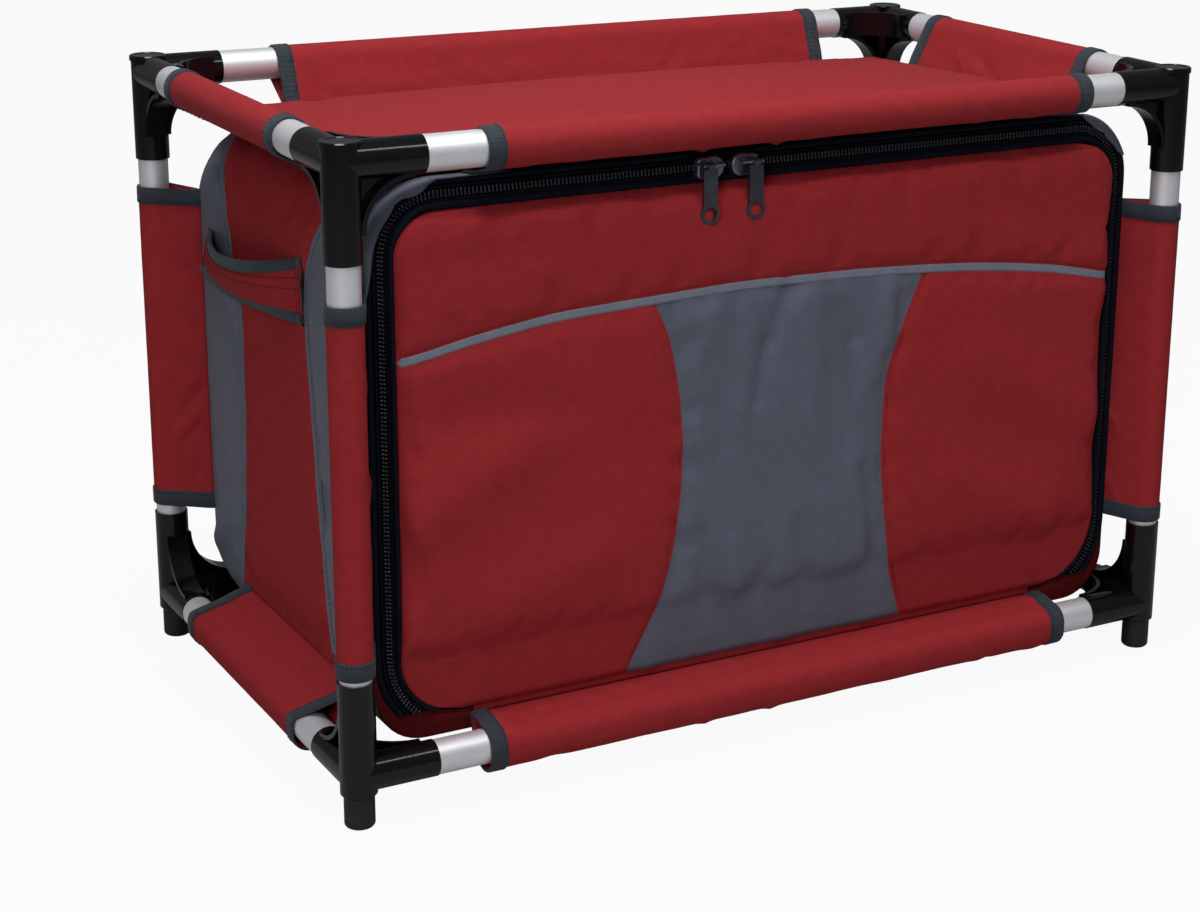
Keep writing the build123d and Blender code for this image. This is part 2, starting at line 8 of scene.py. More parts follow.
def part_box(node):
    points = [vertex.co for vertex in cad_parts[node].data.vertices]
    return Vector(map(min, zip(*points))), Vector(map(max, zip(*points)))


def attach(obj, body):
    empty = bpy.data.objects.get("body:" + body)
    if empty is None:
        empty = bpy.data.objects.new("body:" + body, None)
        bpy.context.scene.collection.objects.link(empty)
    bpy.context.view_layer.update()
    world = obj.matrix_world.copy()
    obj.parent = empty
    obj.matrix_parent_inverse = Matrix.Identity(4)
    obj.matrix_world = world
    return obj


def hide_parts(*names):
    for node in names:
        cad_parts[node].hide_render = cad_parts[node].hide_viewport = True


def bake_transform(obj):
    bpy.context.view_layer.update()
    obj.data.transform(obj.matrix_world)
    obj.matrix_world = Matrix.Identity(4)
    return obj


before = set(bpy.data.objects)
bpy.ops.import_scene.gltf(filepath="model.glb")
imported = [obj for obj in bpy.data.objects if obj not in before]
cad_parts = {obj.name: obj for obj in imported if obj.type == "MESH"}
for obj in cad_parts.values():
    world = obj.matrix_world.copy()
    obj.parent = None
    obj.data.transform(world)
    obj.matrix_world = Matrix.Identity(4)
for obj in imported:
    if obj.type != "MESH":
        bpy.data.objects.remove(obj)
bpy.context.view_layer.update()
scene = bpy.context.scene

# Sizes in millimetres, as in the part; MM turns them into metres
MM = 0.001

POST_X = 329.4
POST_Y = 189.7
TOP_RAIL_Z = 448.0
BASE_RAIL_Z = 37.0

# Bag: front outline, side profile and the padded door in its mouth
BAG_X = 307.0
BAG_FRONT = -168.0
BAG_REAR = 171.0
BAG_LEAN = 7.0
BAG_BOTTOM = 42.0
BAG_TOP = 427.0
ROOF_REAR_Z = 417.0
ROOF_KNEE_Y = 108.0
TOP_CORNER_R = 50.0
BASE_CORNER_R = 36.0
REAR_TOP_R = 44.0
REAR_BASE_R = 52.0
REAR_EDGE_R = 16.0
MOUTH_INSET = 9.7
MOUTH_LOW = 57.0
MOUTH_BASE_R = 56.0
ZIP_CORNER_R = 65.8
ZIP_END = 62.0
DOOR_BOTTOM = 59.0
DOOR_INSET = 20.8
DOOR_SPREAD = 4.2
DOOR_BACK = -166.5

# Fabric sleeves round the tubes
LOOP_R = 12.95
POST_LOOP_R = 12.1
SEAM_R = 1.2
BINDING = 12.0
# Middle along the tube and length of each sleeve
LOOP_SPANS = {
    "tray": {"front": (5.5, 479.0), "rear": (9.0, 482.0), "left": (4.0, 214.0), "right": (4.0, 214.0)},
    "base": {"front": (4.0, 484.0), "rear": (4.0, 484.0), "left": (8.0, 222.0), "right": (8.0, 222.0)},
}
# Lower and upper end of the sleeves round the front and the rear posts
POST_LOOP_ENDS = {-1: (107.5, 357.0), 1: (112.0, 362.0)}

CORNERS = {"front_left": (-1, -1), "front_right": (1, -1), "rear_left": (-1, 1), "rear_right": (1, 1)}

# Colours, linear
RED = (0.33, 0.026, 0.031)
GREY = (0.105, 0.117, 0.163)
BINDING_GREY = (0.038, 0.048, 0.062)
NAVY = (0.0045, 0.0065, 0.014)
BLACK = (0.0035, 0.0037, 0.0045)


# Materials

# Length of a wave texture's band at a scale of 1
BAND_LENGTH = 0.314


def feed(tree, made, inputs):
    """Gives a node's inputs their values, or links from other nodes' output sockets."""
    for name, value in inputs.items():
        socket = made.inputs[name]
        if isinstance(value, bpy.types.NodeSocket):
            tree.links.new(value, socket)
        else:
            socket.default_value = value


def node(tree, kind, inputs=None, **settings):
    """Adds a shader node."""
    made = tree.nodes.new("ShaderNode" + kind)
    for name, value in settings.items():
        setattr(made, name, value)
    feed(tree, made, inputs or {})
    return made


def material(name):
    """A material, its node tree, its shader and the object's coordinates."""
    made = bpy.data.materials.new(name)
    made.use_nodes = True
    tree = made.node_tree
    place = node(tree, "TexCoord").outputs["Object"]
    return made, tree, tree.nodes["Principled BSDF"], place


def soft_noise(tree, place, scale, detail, **more):
    inputs = {"Vector": place, "Scale": scale, "Detail": detail, **more}
    return node(tree, "TexNoise", inputs).outputs["Fac"]


def ranged(tree, value, low, high):
    """A value from 0 to 1, brought between low and high."""
    inputs = {"Value": value, "To Min": low, "To Max": high}
    return node(tree, "MapRange", inputs).outputs["Result"]


def bumped(tree, height, strength, distance, **more):
    """The surface's direction, bent by a height that is distance metres at full strength."""
    inputs = {"Height": height, "Strength": strength, "Distance": distance, **more}
    return node(tree, "Bump", inputs).outputs["Normal"]


def tinted(tree, place, colour, change, scale):
    """The colour, darker and lighter by change in soft patches."""
    patches = soft_noise(tree, place, scale, 4.0, Roughness=0.6)
    ramp = node(tree, "ValToRGB", {"Fac": patches})
    for stop, share, at in ((0, 1 - change, 0.32), (1, 1 + change, 0.68)):
        ramp.color_ramp.elements[stop].position = at
        ramp.color_ramp.elements[stop].color = (*[c * share for c in colour], 1)
    return ramp.outputs["Color"]


def woven(name, colour, pitch, roughness, weave, crumple, sheen, gleam=0.14):
    """Cloth: threads along all three axes, uneven dye and a soft crumple."""
    made, tree, shader, place = material(name)
    wave = {"Vector": place, "Scale": BAND_LENGTH / (pitch * MM), "Distortion": 1.2, "Detail": 1.0}
    threads = []
    for axis in ("X", "Y", "Z"):
        threads.append(node(tree, "TexWave", wave, bands_direction=axis).outputs["Fac"])
    height = threads[0]
    for thread in threads[1:]:
        height = node(tree, "Math", {0: height, 1: thread}, operation="ADD").outputs["Value"]
    fine = bumped(tree, height, weave, 0.0002)
    folds = soft_noise(tree, place, 55.0, 5.0, Roughness=0.55, Distortion=0.4)
    feed(tree, shader, {
        "Base Color": tinted(tree, place, colour, 0.07, 130.0),
        "Normal": bumped(tree, folds, crumple, 0.003, Normal=fine),
        "Roughness": roughness,
        "Sheen Weight": sheen,
        "Sheen Roughness": 0.45,
        "Specular IOR Level": gleam,
    })
    return made


def moulded(name, colour, roughness, grain, grain_scale, gleam=0.4, metallic=0.0):
    """Moulded plastic, rubber or cast metal: a fine skin and slightly uneven gloss."""
    made, tree, shader, place = material(name)
    skin = soft_noise(tree, place, grain_scale, 3.0)
    feed(tree, shader, {
        "Base Color": tinted(tree, place, colour, 0.2, 60.0),
        "Normal": bumped(tree, skin, grain, 0.0004),
        "Roughness": ranged(tree, skin, roughness * 0.75, roughness * 1.35),
        "Specular IOR Level": gleam,
        "Metallic": metallic,
    })
    return made


def aluminium(name, colour, roughness):
    """Satin anodised tube with faint drawing marks and rub marks."""
    made, tree, shader, place = material(name)
    marks = soft_noise(tree, place, 420.0, 6.0)
    feed(tree, shader, {
        "Base Color": tinted(tree, place, colour, 0.05, 35.0),
        "Normal": bumped(tree, marks, 0.08, 0.0002),
        "Roughness": ranged(tree, marks, roughness - 0.08, roughness + 0.12),
        "Metallic": 0.6,
    })
    return made


red_cloth = woven("red_cloth", RED, 1.05, 0.86, 0.2, 0.2, 0.0, 0.08)
# The tray's cloth is the red darkened to 0.92: painted shade on the tray floor and tray sleeves, the upward
# faces most lit from above
tray_cloth = woven("tray_cloth", [c * 0.92 for c in RED], 1.05, 0.86, 0.2, 0.2, 0.02, 0.1)
# The next cloth is the red darkened to 0.3: painted shade for the bag's underside and for the flange behind
# the zip, where the door shades them
base_cloth = woven("base_cloth", [c * 0.3 for c in RED], 1.05, 0.9, 0.4, 0.16, 0.0, 0.05)
grey_cloth = woven("grey_cloth", GREY, 0.8, 0.5, 0.3, 0.2, 0.05, 0.4)
stripe_cloth = woven("stripe_cloth", (0.21, 0.225, 0.285), 0.8, 0.6, 0.3, 0.05, 0.05)
binding_cloth = woven("binding_cloth", BINDING_GREY, 1.3, 0.75, 0.8, 0.05, 0.1)
lining_cloth = woven("lining_cloth", (0.03, 0.032, 0.036), 0.9, 0.8, 0.4, 0.2, 0.05)
zip_cloth = woven("zip_cloth", [c * 0.6 for c in NAVY], 0.8, 0.85, 0.6, 0.05, 0.0, 0.04)
piping_cloth = woven("piping_cloth", NAVY, 0.7, 0.7, 0.4, 0.05, 0.0, 0.08)
thread_red = woven("thread_red", [c * 0.55 for c in RED], 0.5, 0.6, 0.2, 0.0, 0.0)
thread_dark = woven("thread_dark", (0.02, 0.023, 0.028), 0.5, 0.6, 0.2, 0.0, 0.0)
tooth_plastic = moulded("tooth_plastic", (0.014, 0.015, 0.02), 0.28, 0.1, 900.0, 0.5)
corner_plastic = moulded("corner_plastic", BLACK, 0.15, 0.06, 260.0, 0.32)
foot_rubber = moulded("foot_rubber", (0.011, 0.011, 0.012), 0.55, 0.35, 900.0)
lock_nylon = moulded("lock_nylon", (0.05, 0.05, 0.055), 0.5, 0.2, 500.0)
board_plastic = moulded("board_plastic", (0.03, 0.03, 0.033), 0.6, 0.5, 300.0)
slider_metal = moulded("slider_metal", (0.2, 0.21, 0.25), 0.22, 0.5, 1500.0, 0.5, 0.85)
pull_metal = moulded("pull_metal", (0.09, 0.094, 0.11), 0.26, 0.3, 1500.0, 0.5, 0.85)
tube_metal = aluminium("tube_metal", (0.84, 0.85, 0.89), 0.46)
leg_metal = aluminium("leg_metal", (0.66, 0.67, 0.69), 0.3)

for look, prefixes in (
    (corner_plastic, ("top_corner", "base_corner")),
    (tube_metal, ("post", "top_rail", "base_rail")),
    (leg_metal, "leg_tube"),
    (lock_nylon, "leg_lock"),
    (foot_rubber, "foot"),
    (slider_metal, "zip_slider"),
    (pull_metal, "zip_pull"),
    (board_plastic, ("top_board", "base_board", "shelf_board")),
):
    for name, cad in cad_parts.items():
        if name.startswith(prefixes):
            for slot in cad.material_slots:
                slot.material = look


# Mesh building


def placed(name, data):
    """A new object in the scene."""
    obj = bpy.data.objects.new(name, data)
    scene.collection.objects.link(obj)
    return obj


def build(name, points, faces, looks, picks=None, body="frame", slot="red_fabric", nodes=()):
    """A smooth mesh from points in millimetres that rides on a body and stands for CAD nodes."""
    mesh = bpy.data.meshes.new(name)
    mesh.from_pydata([[c * MM for c in p] for p in points], [], faces)
    for look in looks:
        mesh.materials.append(look)
    if picks:
        mesh.polygons.foreach_set("material_index", picks)
    mesh.shade_smooth()
    obj = placed(name, mesh)
    if body:
        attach(obj, body)
    if nodes:
        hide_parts(*nodes)
    return obj


def grid_faces(rows, columns, closed=False, start=0):
    """Quads of a grid laid out row by row; closed joins the last column to the first."""
    faces = []
    for row in range(rows - 1):
        for column in range(columns if closed else columns - 1):
            after = (column + 1) % columns
            low = start + row * columns
            faces.append((low + column, low + after, low + columns + after, low + columns + column))
    return faces


def lattice(name, rows, looks, closed=False, **options):
    """A sheet from rows of points."""
    points = [p for row in rows for p in row]
    return build(name, points, grid_faces(len(rows), len(rows[0]), closed), looks, **options)


def thicken(obj, thickness, lining=0):
    """Thickens a sheet away from its face; the added face's look comes lining places later."""
    solid = obj.modifiers.new("thickness", "SOLIDIFY")
    solid.thickness = thickness * MM
    solid.offset = -1
    solid.material_offset = lining


def ripple(x, y, z, size, seed):
    """Smooth noise from -1 to 1 that changes over about size millimetres."""
    return noise.noise(Vector((x / size + seed, y / size - seed, z / size + 2 * seed)))


def clamp(share):
    """A share held between 0 and 1."""
    return min(1.0, max(0.0, share))


def smooth(share):
    """A share from 0 to 1 that eases in and out."""
    share = clamp(share)
    return share * share * (3 - 2 * share)


def lerp(a, b, share):
    return a + (b - a) * share


def spread(low, high, steps):
    """Even values from low to high, both included."""
    return [lerp(low, high, k / steps) for k in range(steps + 1)]


def slope_at(table, row):
    """Slope of the smooth curve through a table at one of its rows; it never overshoots a row."""
    chords = []
    for k in (row - 1, row):
        if 0 <= k < len(table) - 1:
            chords.append((table[k + 1][1] - table[k][1]) / (table[k + 1][0] - table[k][0]))
    product = chords[0] * chords[-1]
    return 2 * product / (chords[0] + chords[-1]) if product > 0 else 0.0


def between(table, at):
    """The value at a place, on a smooth curve through a table of (place, value)."""
    if at <= table[0][0]:
        return table[0][1]
    if at >= table[-1][0]:
        return table[-1][1]
    row = next(k for k in range(len(table) - 1) if at <= table[k + 1][0])
    (low, first), (high, second) = table[row : row + 2]
    span = high - low
    share = (at - low) / span
    rise = share * share * (3 - 2 * share)
    bend_in = share * (1 - share) ** 2 * slope_at(table, row) * span
    bend_out = share * share * (1 - share) * slope_at(table, row + 1) * span
    return lerp(first, second, rise) + bend_in - bend_out


def walk(path, spacing):
    """Points and directions at even spacing along a path."""
    steps = []
    spare = spacing / 2
    for start, end in zip(path, path[1:]):
        start, end = Vector(start), Vector(end)
        length = (end - start).length
        if length < 1e-6:
            continue
        way = (end - start) / length
        at = spare
        while at < length:
            steps.append((start + way * at, way))
            at += spacing
        spare = at - length
    return steps


# Sizes of the small stitches on the zip and on the sleeves
SMALL = {"length": 2.2, "pitch": 3.2, "radius": 0.28}


def stitches(name, paths, look, body, slot="red_fabric", length=2.7, pitch=3.9, radius=0.36):
    """Rows of sewn stitches: short rounded threads laid end to end along the paths."""
    points, faces = [], []
    sides = 5
    for path in paths:
        for centre, way in walk(path, pitch):
            across = way.orthogonal().normalized()
            other = way.cross(across)
            start = len(points)
            for along, swell in ((-0.5, 0.35), (-0.3, 1.0), (0.3, 1.0), (0.5, 0.35)):
                for turn in range(sides):
                    angle = 2 * pi * turn / sides
                    spoke = across * cos(angle) + other * sin(angle)
                    points.append(centre + way * (along * length) + spoke * radius * swell)
            faces += grid_faces(4, sides, True, start)
            faces.append([start + k for k in range(sides)][::-1])
            faces.append([start + 3 * sides + k for k in range(sides)])
    build(name, points, faces, [look], body=body, slot=slot)


# Frames that a cloth takes to settle, and its simulated size for each millimetre
SETTLE_FRAMES = 16
SETTLE_SCALE = 0.01


def settle(points, faces, sewn, growth, pressure, cap):
    """Points in millimetres after they settle as cloth cut longer by growth than its frame.

    The sewn points stay, pressure pushes the rest off the face, and none moves further than cap.
    """
    mesh = bpy.data.meshes.new("settling")
    mesh.from_pydata([[c * SETTLE_SCALE for c in p] for p in points], [], faces)
    obj = placed("settling", mesh)
    group = obj.vertex_groups.new(name="sewn")
    group.add(sorted(sewn), 1.0, "REPLACE")
    cloth = obj.modifiers.new("settling", "CLOTH")
    cloth.point_cache.frame_start = 1
    cloth.point_cache.frame_end = SETTLE_FRAMES
    cloth.collision_settings.use_collision = False
    cloth.collision_settings.use_self_collision = False
    rules = cloth.settings
    rules.quality = 5
    rules.mass = 0.15
    rules.tension_stiffness = 15
    rules.compression_stiffness = 15
    rules.shear_stiffness = 6
    rules.bending_stiffness = 8.0
    rules.vertex_group_mass = group.name
    rules.shrink_min = -growth
    rules.use_pressure = True
    rules.uniform_pressure_force = pressure
    rules.effector_weights.gravity = 0
    for number in range(1, SETTLE_FRAMES + 1):
        scene.frame_set(number)
    shaped = obj.evaluated_get(bpy.context.evaluated_depsgraph_get()).to_mesh()
    settled = []
    for start, vertex in zip(points, shaped.vertices):
        move = vertex.co / SETTLE_SCALE - Vector(start)
        settled.append(tuple(Vector(start) + move * min(1.0, cap / max(move.length, 1e-6))))
    bpy.data.objects.remove(obj)
    bpy.data.meshes.remove(mesh)
    scene.frame_set(1)
    return settled


# Rounded outlines, seen from the front

# Steps along each part of an outline, from its base to its top
BASE_STEPS = 14
BASE_ARC = 10
SIDE_STEPS = 50
TOP_ARC = 14
TOP_STEPS = 20


def top_corner(half, high, radius):
    """(x, z) round the upper right corner, from the side up, without its last point."""
    arc = []
    for k in range(TOP_ARC):
        angle = pi / 2 * k / TOP_ARC
        arc.append((half - radius * (1 - cos(angle)), high - radius * (1 - sin(angle))))
    return arc


def section(half, high, low, top_r, base_r):
    """(x, z) round a rounded rectangle from the middle of its base, with the same count everywhere."""
    right = [((half - base_r) * k / BASE_STEPS, low) for k in range(BASE_STEPS)]
    for k in range(BASE_ARC):
        angle = pi / 2 * k / BASE_ARC
        right.append((half - base_r + base_r * sin(angle), low + base_r * (1 - cos(angle))))
    right += [(half, z) for z in spread(low + base_r, high - top_r, SIDE_STEPS)[:-1]]
    right += top_corner(half, high, top_r)
    right += [((half - top_r) * (1 - k / TOP_STEPS), high) for k in range(TOP_STEPS)]
    left = [(-x, z) for x, z in right[1:]][::-1]
    return right + [(0.0, high)] + left


def outward(ring, index):
    """The outward direction of a closed outline at one of its points."""
    before = ring[index - 1]
    after = ring[(index + 1) % len(ring)]
    dx, dz = after[0] - before[0], after[1] - before[1]
    size = hypot(dx, dz) or 1.0
    return dz / size, -dx / size


def arc_rise(radius, past):
    """How far a rounded edge stands out from its centre's line, past millimetres along it."""
    return sqrt(max(0.0, radius**2 - past**2))


# Bag shell: red middle, grey strips down its sides, and a front flange that carries the zip

# Rear edge of the front strip and front edge of the rear strip, as (height, depth)
FRONT_STRIP = (
    (60, -104), (92, -92), (177, -83), (246, -75), (301, -69), (335, -66), (365, -77), (401, -104),
    (420, -120),
)
REAR_STRIP = (
    (60, 92), (92, 84), (144, 70), (223, 62), (299, 62), (357, 82), (381, 88), (400, 102), (418, 118),
)


def roof_z(y):
    """Height of the bag's roof at a depth, before the rear wall leans."""
    reach = BAG_REAR - REAR_TOP_R
    if y > reach:
        return ROOF_REAR_Z - REAR_TOP_R + arc_rise(REAR_TOP_R, y - reach)
    return lerp(BAG_TOP, ROOF_REAR_Z, min(1.0, (y - BAG_FRONT) / (ROOF_KNEE_Y - BAG_FRONT)))


def base_z(y):
    reach = BAG_REAR - REAR_BASE_R
    if y > reach:
        return BAG_BOTTOM + REAR_BASE_R - arc_rise(REAR_BASE_R, y - reach)
    return BAG_BOTTOM


def half_x(y):
    reach = BAG_REAR - REAR_EDGE_R
    if y > reach:
        return BAG_X - REAR_EDGE_R + arc_rise(REAR_EDGE_R, y - reach)
    return BAG_X


def lean(y, z):
    """How far the leaning rear wall carries a point back."""
    return BAG_LEAN * clamp(y / (BAG_REAR - REAR_TOP_R)) * (z - BAG_BOTTOM) / (ROOF_REAR_Z - BAG_BOTTOM)


def bag_section(y):
    return section(half_x(y), roof_z(y), base_z(y), TOP_CORNER_R, BASE_CORNER_R)


def bag_softness(x, y, z):
    """How far the bag's cloth stands out from its outline: slack middles and small crumples."""
    hold = smooth((y - BAG_FRONT) / 30) * smooth((BAG_REAR - y) / 40)
    side = smooth((abs(x) - 240) / 60)
    belly = 2.0 * sin(pi * clamp((z - 50) / 360)) * side
    folds = 1.3 * ripple(x * 0.3, y, z * 0.45, 42, 3.1) + 0.5 * ripple(x, y, z, 19, 7.7)
    return hold * (belly + folds) * smooth((z - 84) / 26)


def bag_point(ring, index, y):
    x, z = ring[index]
    nx, nz = outward(ring, index)
    stand = bag_softness(x, y, z)
    return (x + nx * stand, y + lean(y, z), z + nz * stand)


# Height of the seams that hold the side sleeves of the base
SIDE_SEAM_Z = 72.0
# Rings of the bag from its front to the front strip's edge, to the rear strip and to its rear
STRIP_STEPS = (16, 30, 30)
# Rows across the flange, as shares of its width
FLANGE = (0.0, 0.5, 0.92)


def bag_depths(z):
    """Depths of the bag's rings at a height, so that the seams fall on rings."""
    edges = (BAG_FRONT, between(FRONT_STRIP, z), between(REAR_STRIP, z), BAG_REAR)
    depths = []
    for low, high, steps in zip(edges, edges[1:], STRIP_STEPS):
        depths += spread(low, high, steps)[:-1]
    return depths + [BAG_REAR]


def make_bag():
    nominal = bag_section(BAG_FRONT)
    count = len(nominal)
    columns = [bag_depths(z) for _, z in nominal]
    mouth = section(
        BAG_X - MOUTH_INSET, BAG_TOP - MOUTH_INSET, MOUTH_LOW, TOP_CORNER_R - MOUTH_INSET, MOUTH_BASE_R
    )
    rows = []
    for share in FLANGE:
        row = []
        for (ax, az), (bx, bz) in zip(mouth, nominal):
            row.append((lerp(ax, bx, share), BAG_FRONT, lerp(az, bz, share)))
        rows.append(row)
    sections = {}
    for depths in zip(*columns):
        row = []
        for index, y in enumerate(depths):
            key = round(y, 3)
            if key not in sections:
                sections[key] = bag_section(y)
            row.append(bag_point(sections[key], index, y))
        rows.append(row)
    rear = bag_section(BAG_REAR)
    middle_z = (roof_z(BAG_REAR) + base_z(BAG_REAR)) / 2
    for share in (0.94, 0.85, 0.7, 0.5, 0.3, 0.12):
        row = []
        for x, z in rear:
            px, pz = x * share, lerp(middle_z, z, share)
            puff = 3.0 * smooth((1 - share) / 0.4) + ripple(px, 0, pz, 45, 5.2) * (1 - share) * 2
            row.append((px, BAG_REAR + lean(BAG_REAR, pz) + puff, pz))
        rows.append(row)
    points = [p for row in rows for p in row]
    faces = [face[::-1] for face in grid_faces(len(rows), count, True)]
    faces.append([len(points) - count + k for k in range(count)][::-1])
    first, last = len(FLANGE), len(FLANGE) + sum(STRIP_STEPS)
    front_seam = first + STRIP_STEPS[0]
    rear_seam = last - STRIP_STEPS[2]
    seam_rows = {front_seam - 1, front_seam, rear_seam, rear_seam + 1}
    sewn = []
    for index, (_, _, z) in enumerate(points):
        row = index // count
        if row <= first or row in seam_rows or z < SIDE_SEAM_Z + 12 or z > ROOF_REAR_Z - 4:
            sewn.append(index)
    points = settle(points, faces, sewn, 0.022, 0.6, 2.8)
    # The flange and the underside get the red darkened to 0.3, painted shade where the door and the bag
    # shade them
    base_end = BASE_STEPS + 4
    picks = []
    for row in range(len(rows) - 1):
        for column in range(count):
            on_base = column < base_end or column >= count - base_end
            in_strip = first <= row < front_seam or rear_seam <= row < last
            in_painted_shade = row < first or on_base and row < last
            picks.append(2 if in_painted_shade else 1 if in_strip else 0)
    picks.append(0)
    looks = [red_cloth, grey_cloth, base_cloth, lining_cloth, lining_cloth, lining_cloth]
    thicken(build("bag_cloth", points, faces, looks, picks, nodes=["bag_shell"]), 1.1, 3)


make_bag()


def side_path(table, shift, low, high, sign, proud):
    """A line up a side of the bag, beside a strip's edge."""
    path = []
    for index, (x, z) in enumerate(bag_section(BAG_FRONT)):
        if x * sign < 200 or not low < z < high:
            continue
        y = between(table, z) + shift
        ring = bag_section(y)
        place_x, place_y, place_z = bag_point(ring, index, y)
        nx, nz = outward(ring, index)
        path.append((place_x + nx * proud, place_y, place_z + nz * proud))
    return path


side_seams = []
for sign in (-1, 1):
    side_seams.append(side_path(FRONT_STRIP, -4.5, 84, 398, sign, 0.8))
    side_seams.append(side_path(REAR_STRIP, 4.5, 84, 384, sign, 0.8))
stitches("side_seam_stitches", side_seams, thread_dark, "frame", "grey_fabric")

# The grey strips are folded under along their seams and stand a little proud of the red cloth
for side, sign in (("left", -1), ("right", 1)):
    for place, table, way in (("front", FRONT_STRIP, 1), ("rear", REAR_STRIP, -1)):
        rows = []
        for shift, proud in ((-7.0, 0.2), (-4.0, 1.1), (-0.5, 1.6), (0.8, 1.3), (1.2, 0.2)):
            rows.append(side_path(table, shift * way, 80, 400, sign, proud))
        lattice(f"strip_fold_{place}_{side}", rows, [grey_cloth], slot="grey_fabric")


# Zip: rolled bindings, tapes and two rows of teeth round the bag's mouth

CHAIN_INSET = 12.0
# Steps of the zip's line round a lower corner, and along a side or half its top
ZIP_ARC = 12
ZIP_STEPS = 60


def zip_line(inset):
    """(x, z) from the zip's lower left end, over the top, to its lower right end.

    Past the chain the line spreads at the sides, where the door reaches further out.
    """
    half = BAG_X - inset + DOOR_SPREAD * smooth((inset - CHAIN_INSET) / (DOOR_INSET - CHAIN_INSET))
    base_r = ZIP_CORNER_R - inset
    top_r = TOP_CORNER_R - inset
    high = BAG_TOP - inset
    centre_z = DOOR_BOTTOM - DOOR_INSET + ZIP_CORNER_R
    low_angle = asin((centre_z - ZIP_END) / base_r)
    right = []
    for k in range(ZIP_ARC):
        angle = low_angle * (1 - k / ZIP_ARC)
        right.append((half - base_r + base_r * cos(angle), centre_z - base_r * sin(angle)))
    right += [(half, z) for z in spread(centre_z, high - top_r, ZIP_STEPS)[:-1]]
    right += top_corner(half, high, top_r)
    right += [((half - top_r) * (1 - k / ZIP_STEPS), high) for k in range(ZIP_STEPS)]
    return [(-x, z) for x, z in right] + [(0.0, high)] + right[::-1]


def at_side(x, z):
    """1 along the straight sides of the zip, falling to 0 round its corners."""
    return smooth((abs(x) - 262) / 24) * smooth((z - 80) / 50)


def zip_band(name, profile, look, body, nodes=(), lift=0.0):
    """A band swept along the zip from (inset, depth) pairs.

    lift raises all but its first edge along the sides.
    """
    rows = []
    for step, (inset, depth) in enumerate(profile):
        row = []
        for x, z in zip_line(inset):
            raised = lift * at_side(x, z) if step else 0.0
            row.append((x, depth - raised + 0.35 * ripple(x, depth, z, 28, 1.3), z))
        rows.append(row)
    return lattice(name, rows, [look], body=body, slot="zip_tape", nodes=nodes)


def roll(first, last, base, proud):
    """The round back of a folded binding, as a profile for a band."""
    steps = 8
    profile = []
    for k in range(steps + 1):
        angle = pi * k / steps
        profile.append((lerp(first, last, (1 - cos(angle)) / 2), base - proud * sin(angle)))
    return profile


TAPE_Y = BAG_FRONT - 1.0


def corner_gusset(name, sign, low, reach):
    """A grey fold of the bag's cloth that shows round a top corner of the zip.

    It starts at the height low on the side and ends at the distance reach from the middle of the top.
    """
    outer, inner = zip_line(-0.8), zip_line(8.4)
    picked = [k for k, (x, z) in enumerate(outer) if x * sign > 0 and z > low and abs(x) > reach]
    rows = []
    for share, proud in ((0.0, 0.4), (0.15, 2.2), (0.45, 3.0), (0.8, 2.4), (1.0, 0.9)):
        row = []
        for place, k in enumerate(picked):
            taper = sin(pi * (place + 0.5) / len(picked)) ** 0.6
            pinch = 1 - 0.35 * exp(-(((place / len(picked) - 0.42) / 0.04) ** 2))
            # On top it stays outside the way of the sliders
            wide = share * taper * pinch * lerp(0.24, 1.0, smooth((abs(outer[k][0]) - 257) / 14))
            x, z = (lerp(a, b, wide) for a, b in zip(outer[k], inner[k]))
            row.append((x, BAG_FRONT - proud * pinch - 0.5 * ripple(x, 0, z, 11, 2.0), z))
        rows.append(row)
    lattice(name, rows, [grey_cloth], slot="grey_fabric")


corner_gusset("gusset_left", -1, 352.0, 205.0)
corner_gusset("gusset_right", 1, 392.0, 262.0)


def zip_tape(side, body, profile):
    """A woven tape from pairs of an inset and a height over the tape's face."""
    band = [(inset, TAPE_Y - height) for inset, height in profile]
    zip_band(f"zip_tape_{side}", band, zip_cloth, body, [f"{side}_zip_half"])


zip_tape("bag", "frame", ((4.2, -0.9), (4.4, 0.2), (7.0, 0.5), (9.3, 0.6), (9.4, -0.9)))
zip_band("zip_piping_bag", roll(-0.4, 4.6, BAG_FRONT + 0.6, 2.3), piping_cloth, "frame")
zip_tape("door", "door", ((10.6, -0.9), (10.7, 0.6), (13.0, 0.5), (15.4, 0.3), (15.6, -0.9)))
zip_band("zip_piping_door", roll(14.8, 21.8, BAG_FRONT + 0.2, 3.8), piping_cloth, "door", lift=5.0)

# Rings of a tooth from its foot up, as half its width, half its length along the zip, and height
TOOTH = ((1.3, 0.45, -0.5), (1.3, 0.65, 0.1), (1.0, 0.6, 0.5), (0.6, 0.3, 0.8))
TOOTH_PITCH = 2.8


def teeth(name, inset, body):
    """One side of the chain: a row of rounded bars."""
    points, faces = [], []
    path = [(x, TAPE_Y - 1.0, z) for x, z in zip_line(inset)]
    up = Vector((0, -1, 0))
    for centre, way in walk(path, TOOTH_PITCH):
        across = Vector((way.z, 0, -way.x))
        start = len(points)
        for width, side, height in TOOTH:
            for a, b in ((-1, -1), (1, -1), (1, 1), (-1, 1)):
                points.append(centre + across * (a * width) + way * (b * side) + up * height)
        faces += grid_faces(4, 4, True, start)
        faces.append([start + 12 + k for k in range(4)])
    build(name, points, faces, [tooth_plastic], body=body, slot="zip_tape")


teeth("zip_teeth_bag", 8.9, "frame")
teeth("zip_teeth_door", 11.3, "door")

for side, inset, body in (("bag", 5.6, "frame"), ("door", 14.2, "door")):
    seam = [(x, TAPE_Y - 0.9, z) for x, z in zip_line(inset)]
    stitches(f"zip_stitches_{side}", [seam], thread_dark, body, "zip_tape", **SMALL)


# Door: a padded panel with a grey waisted middle and a light stripe

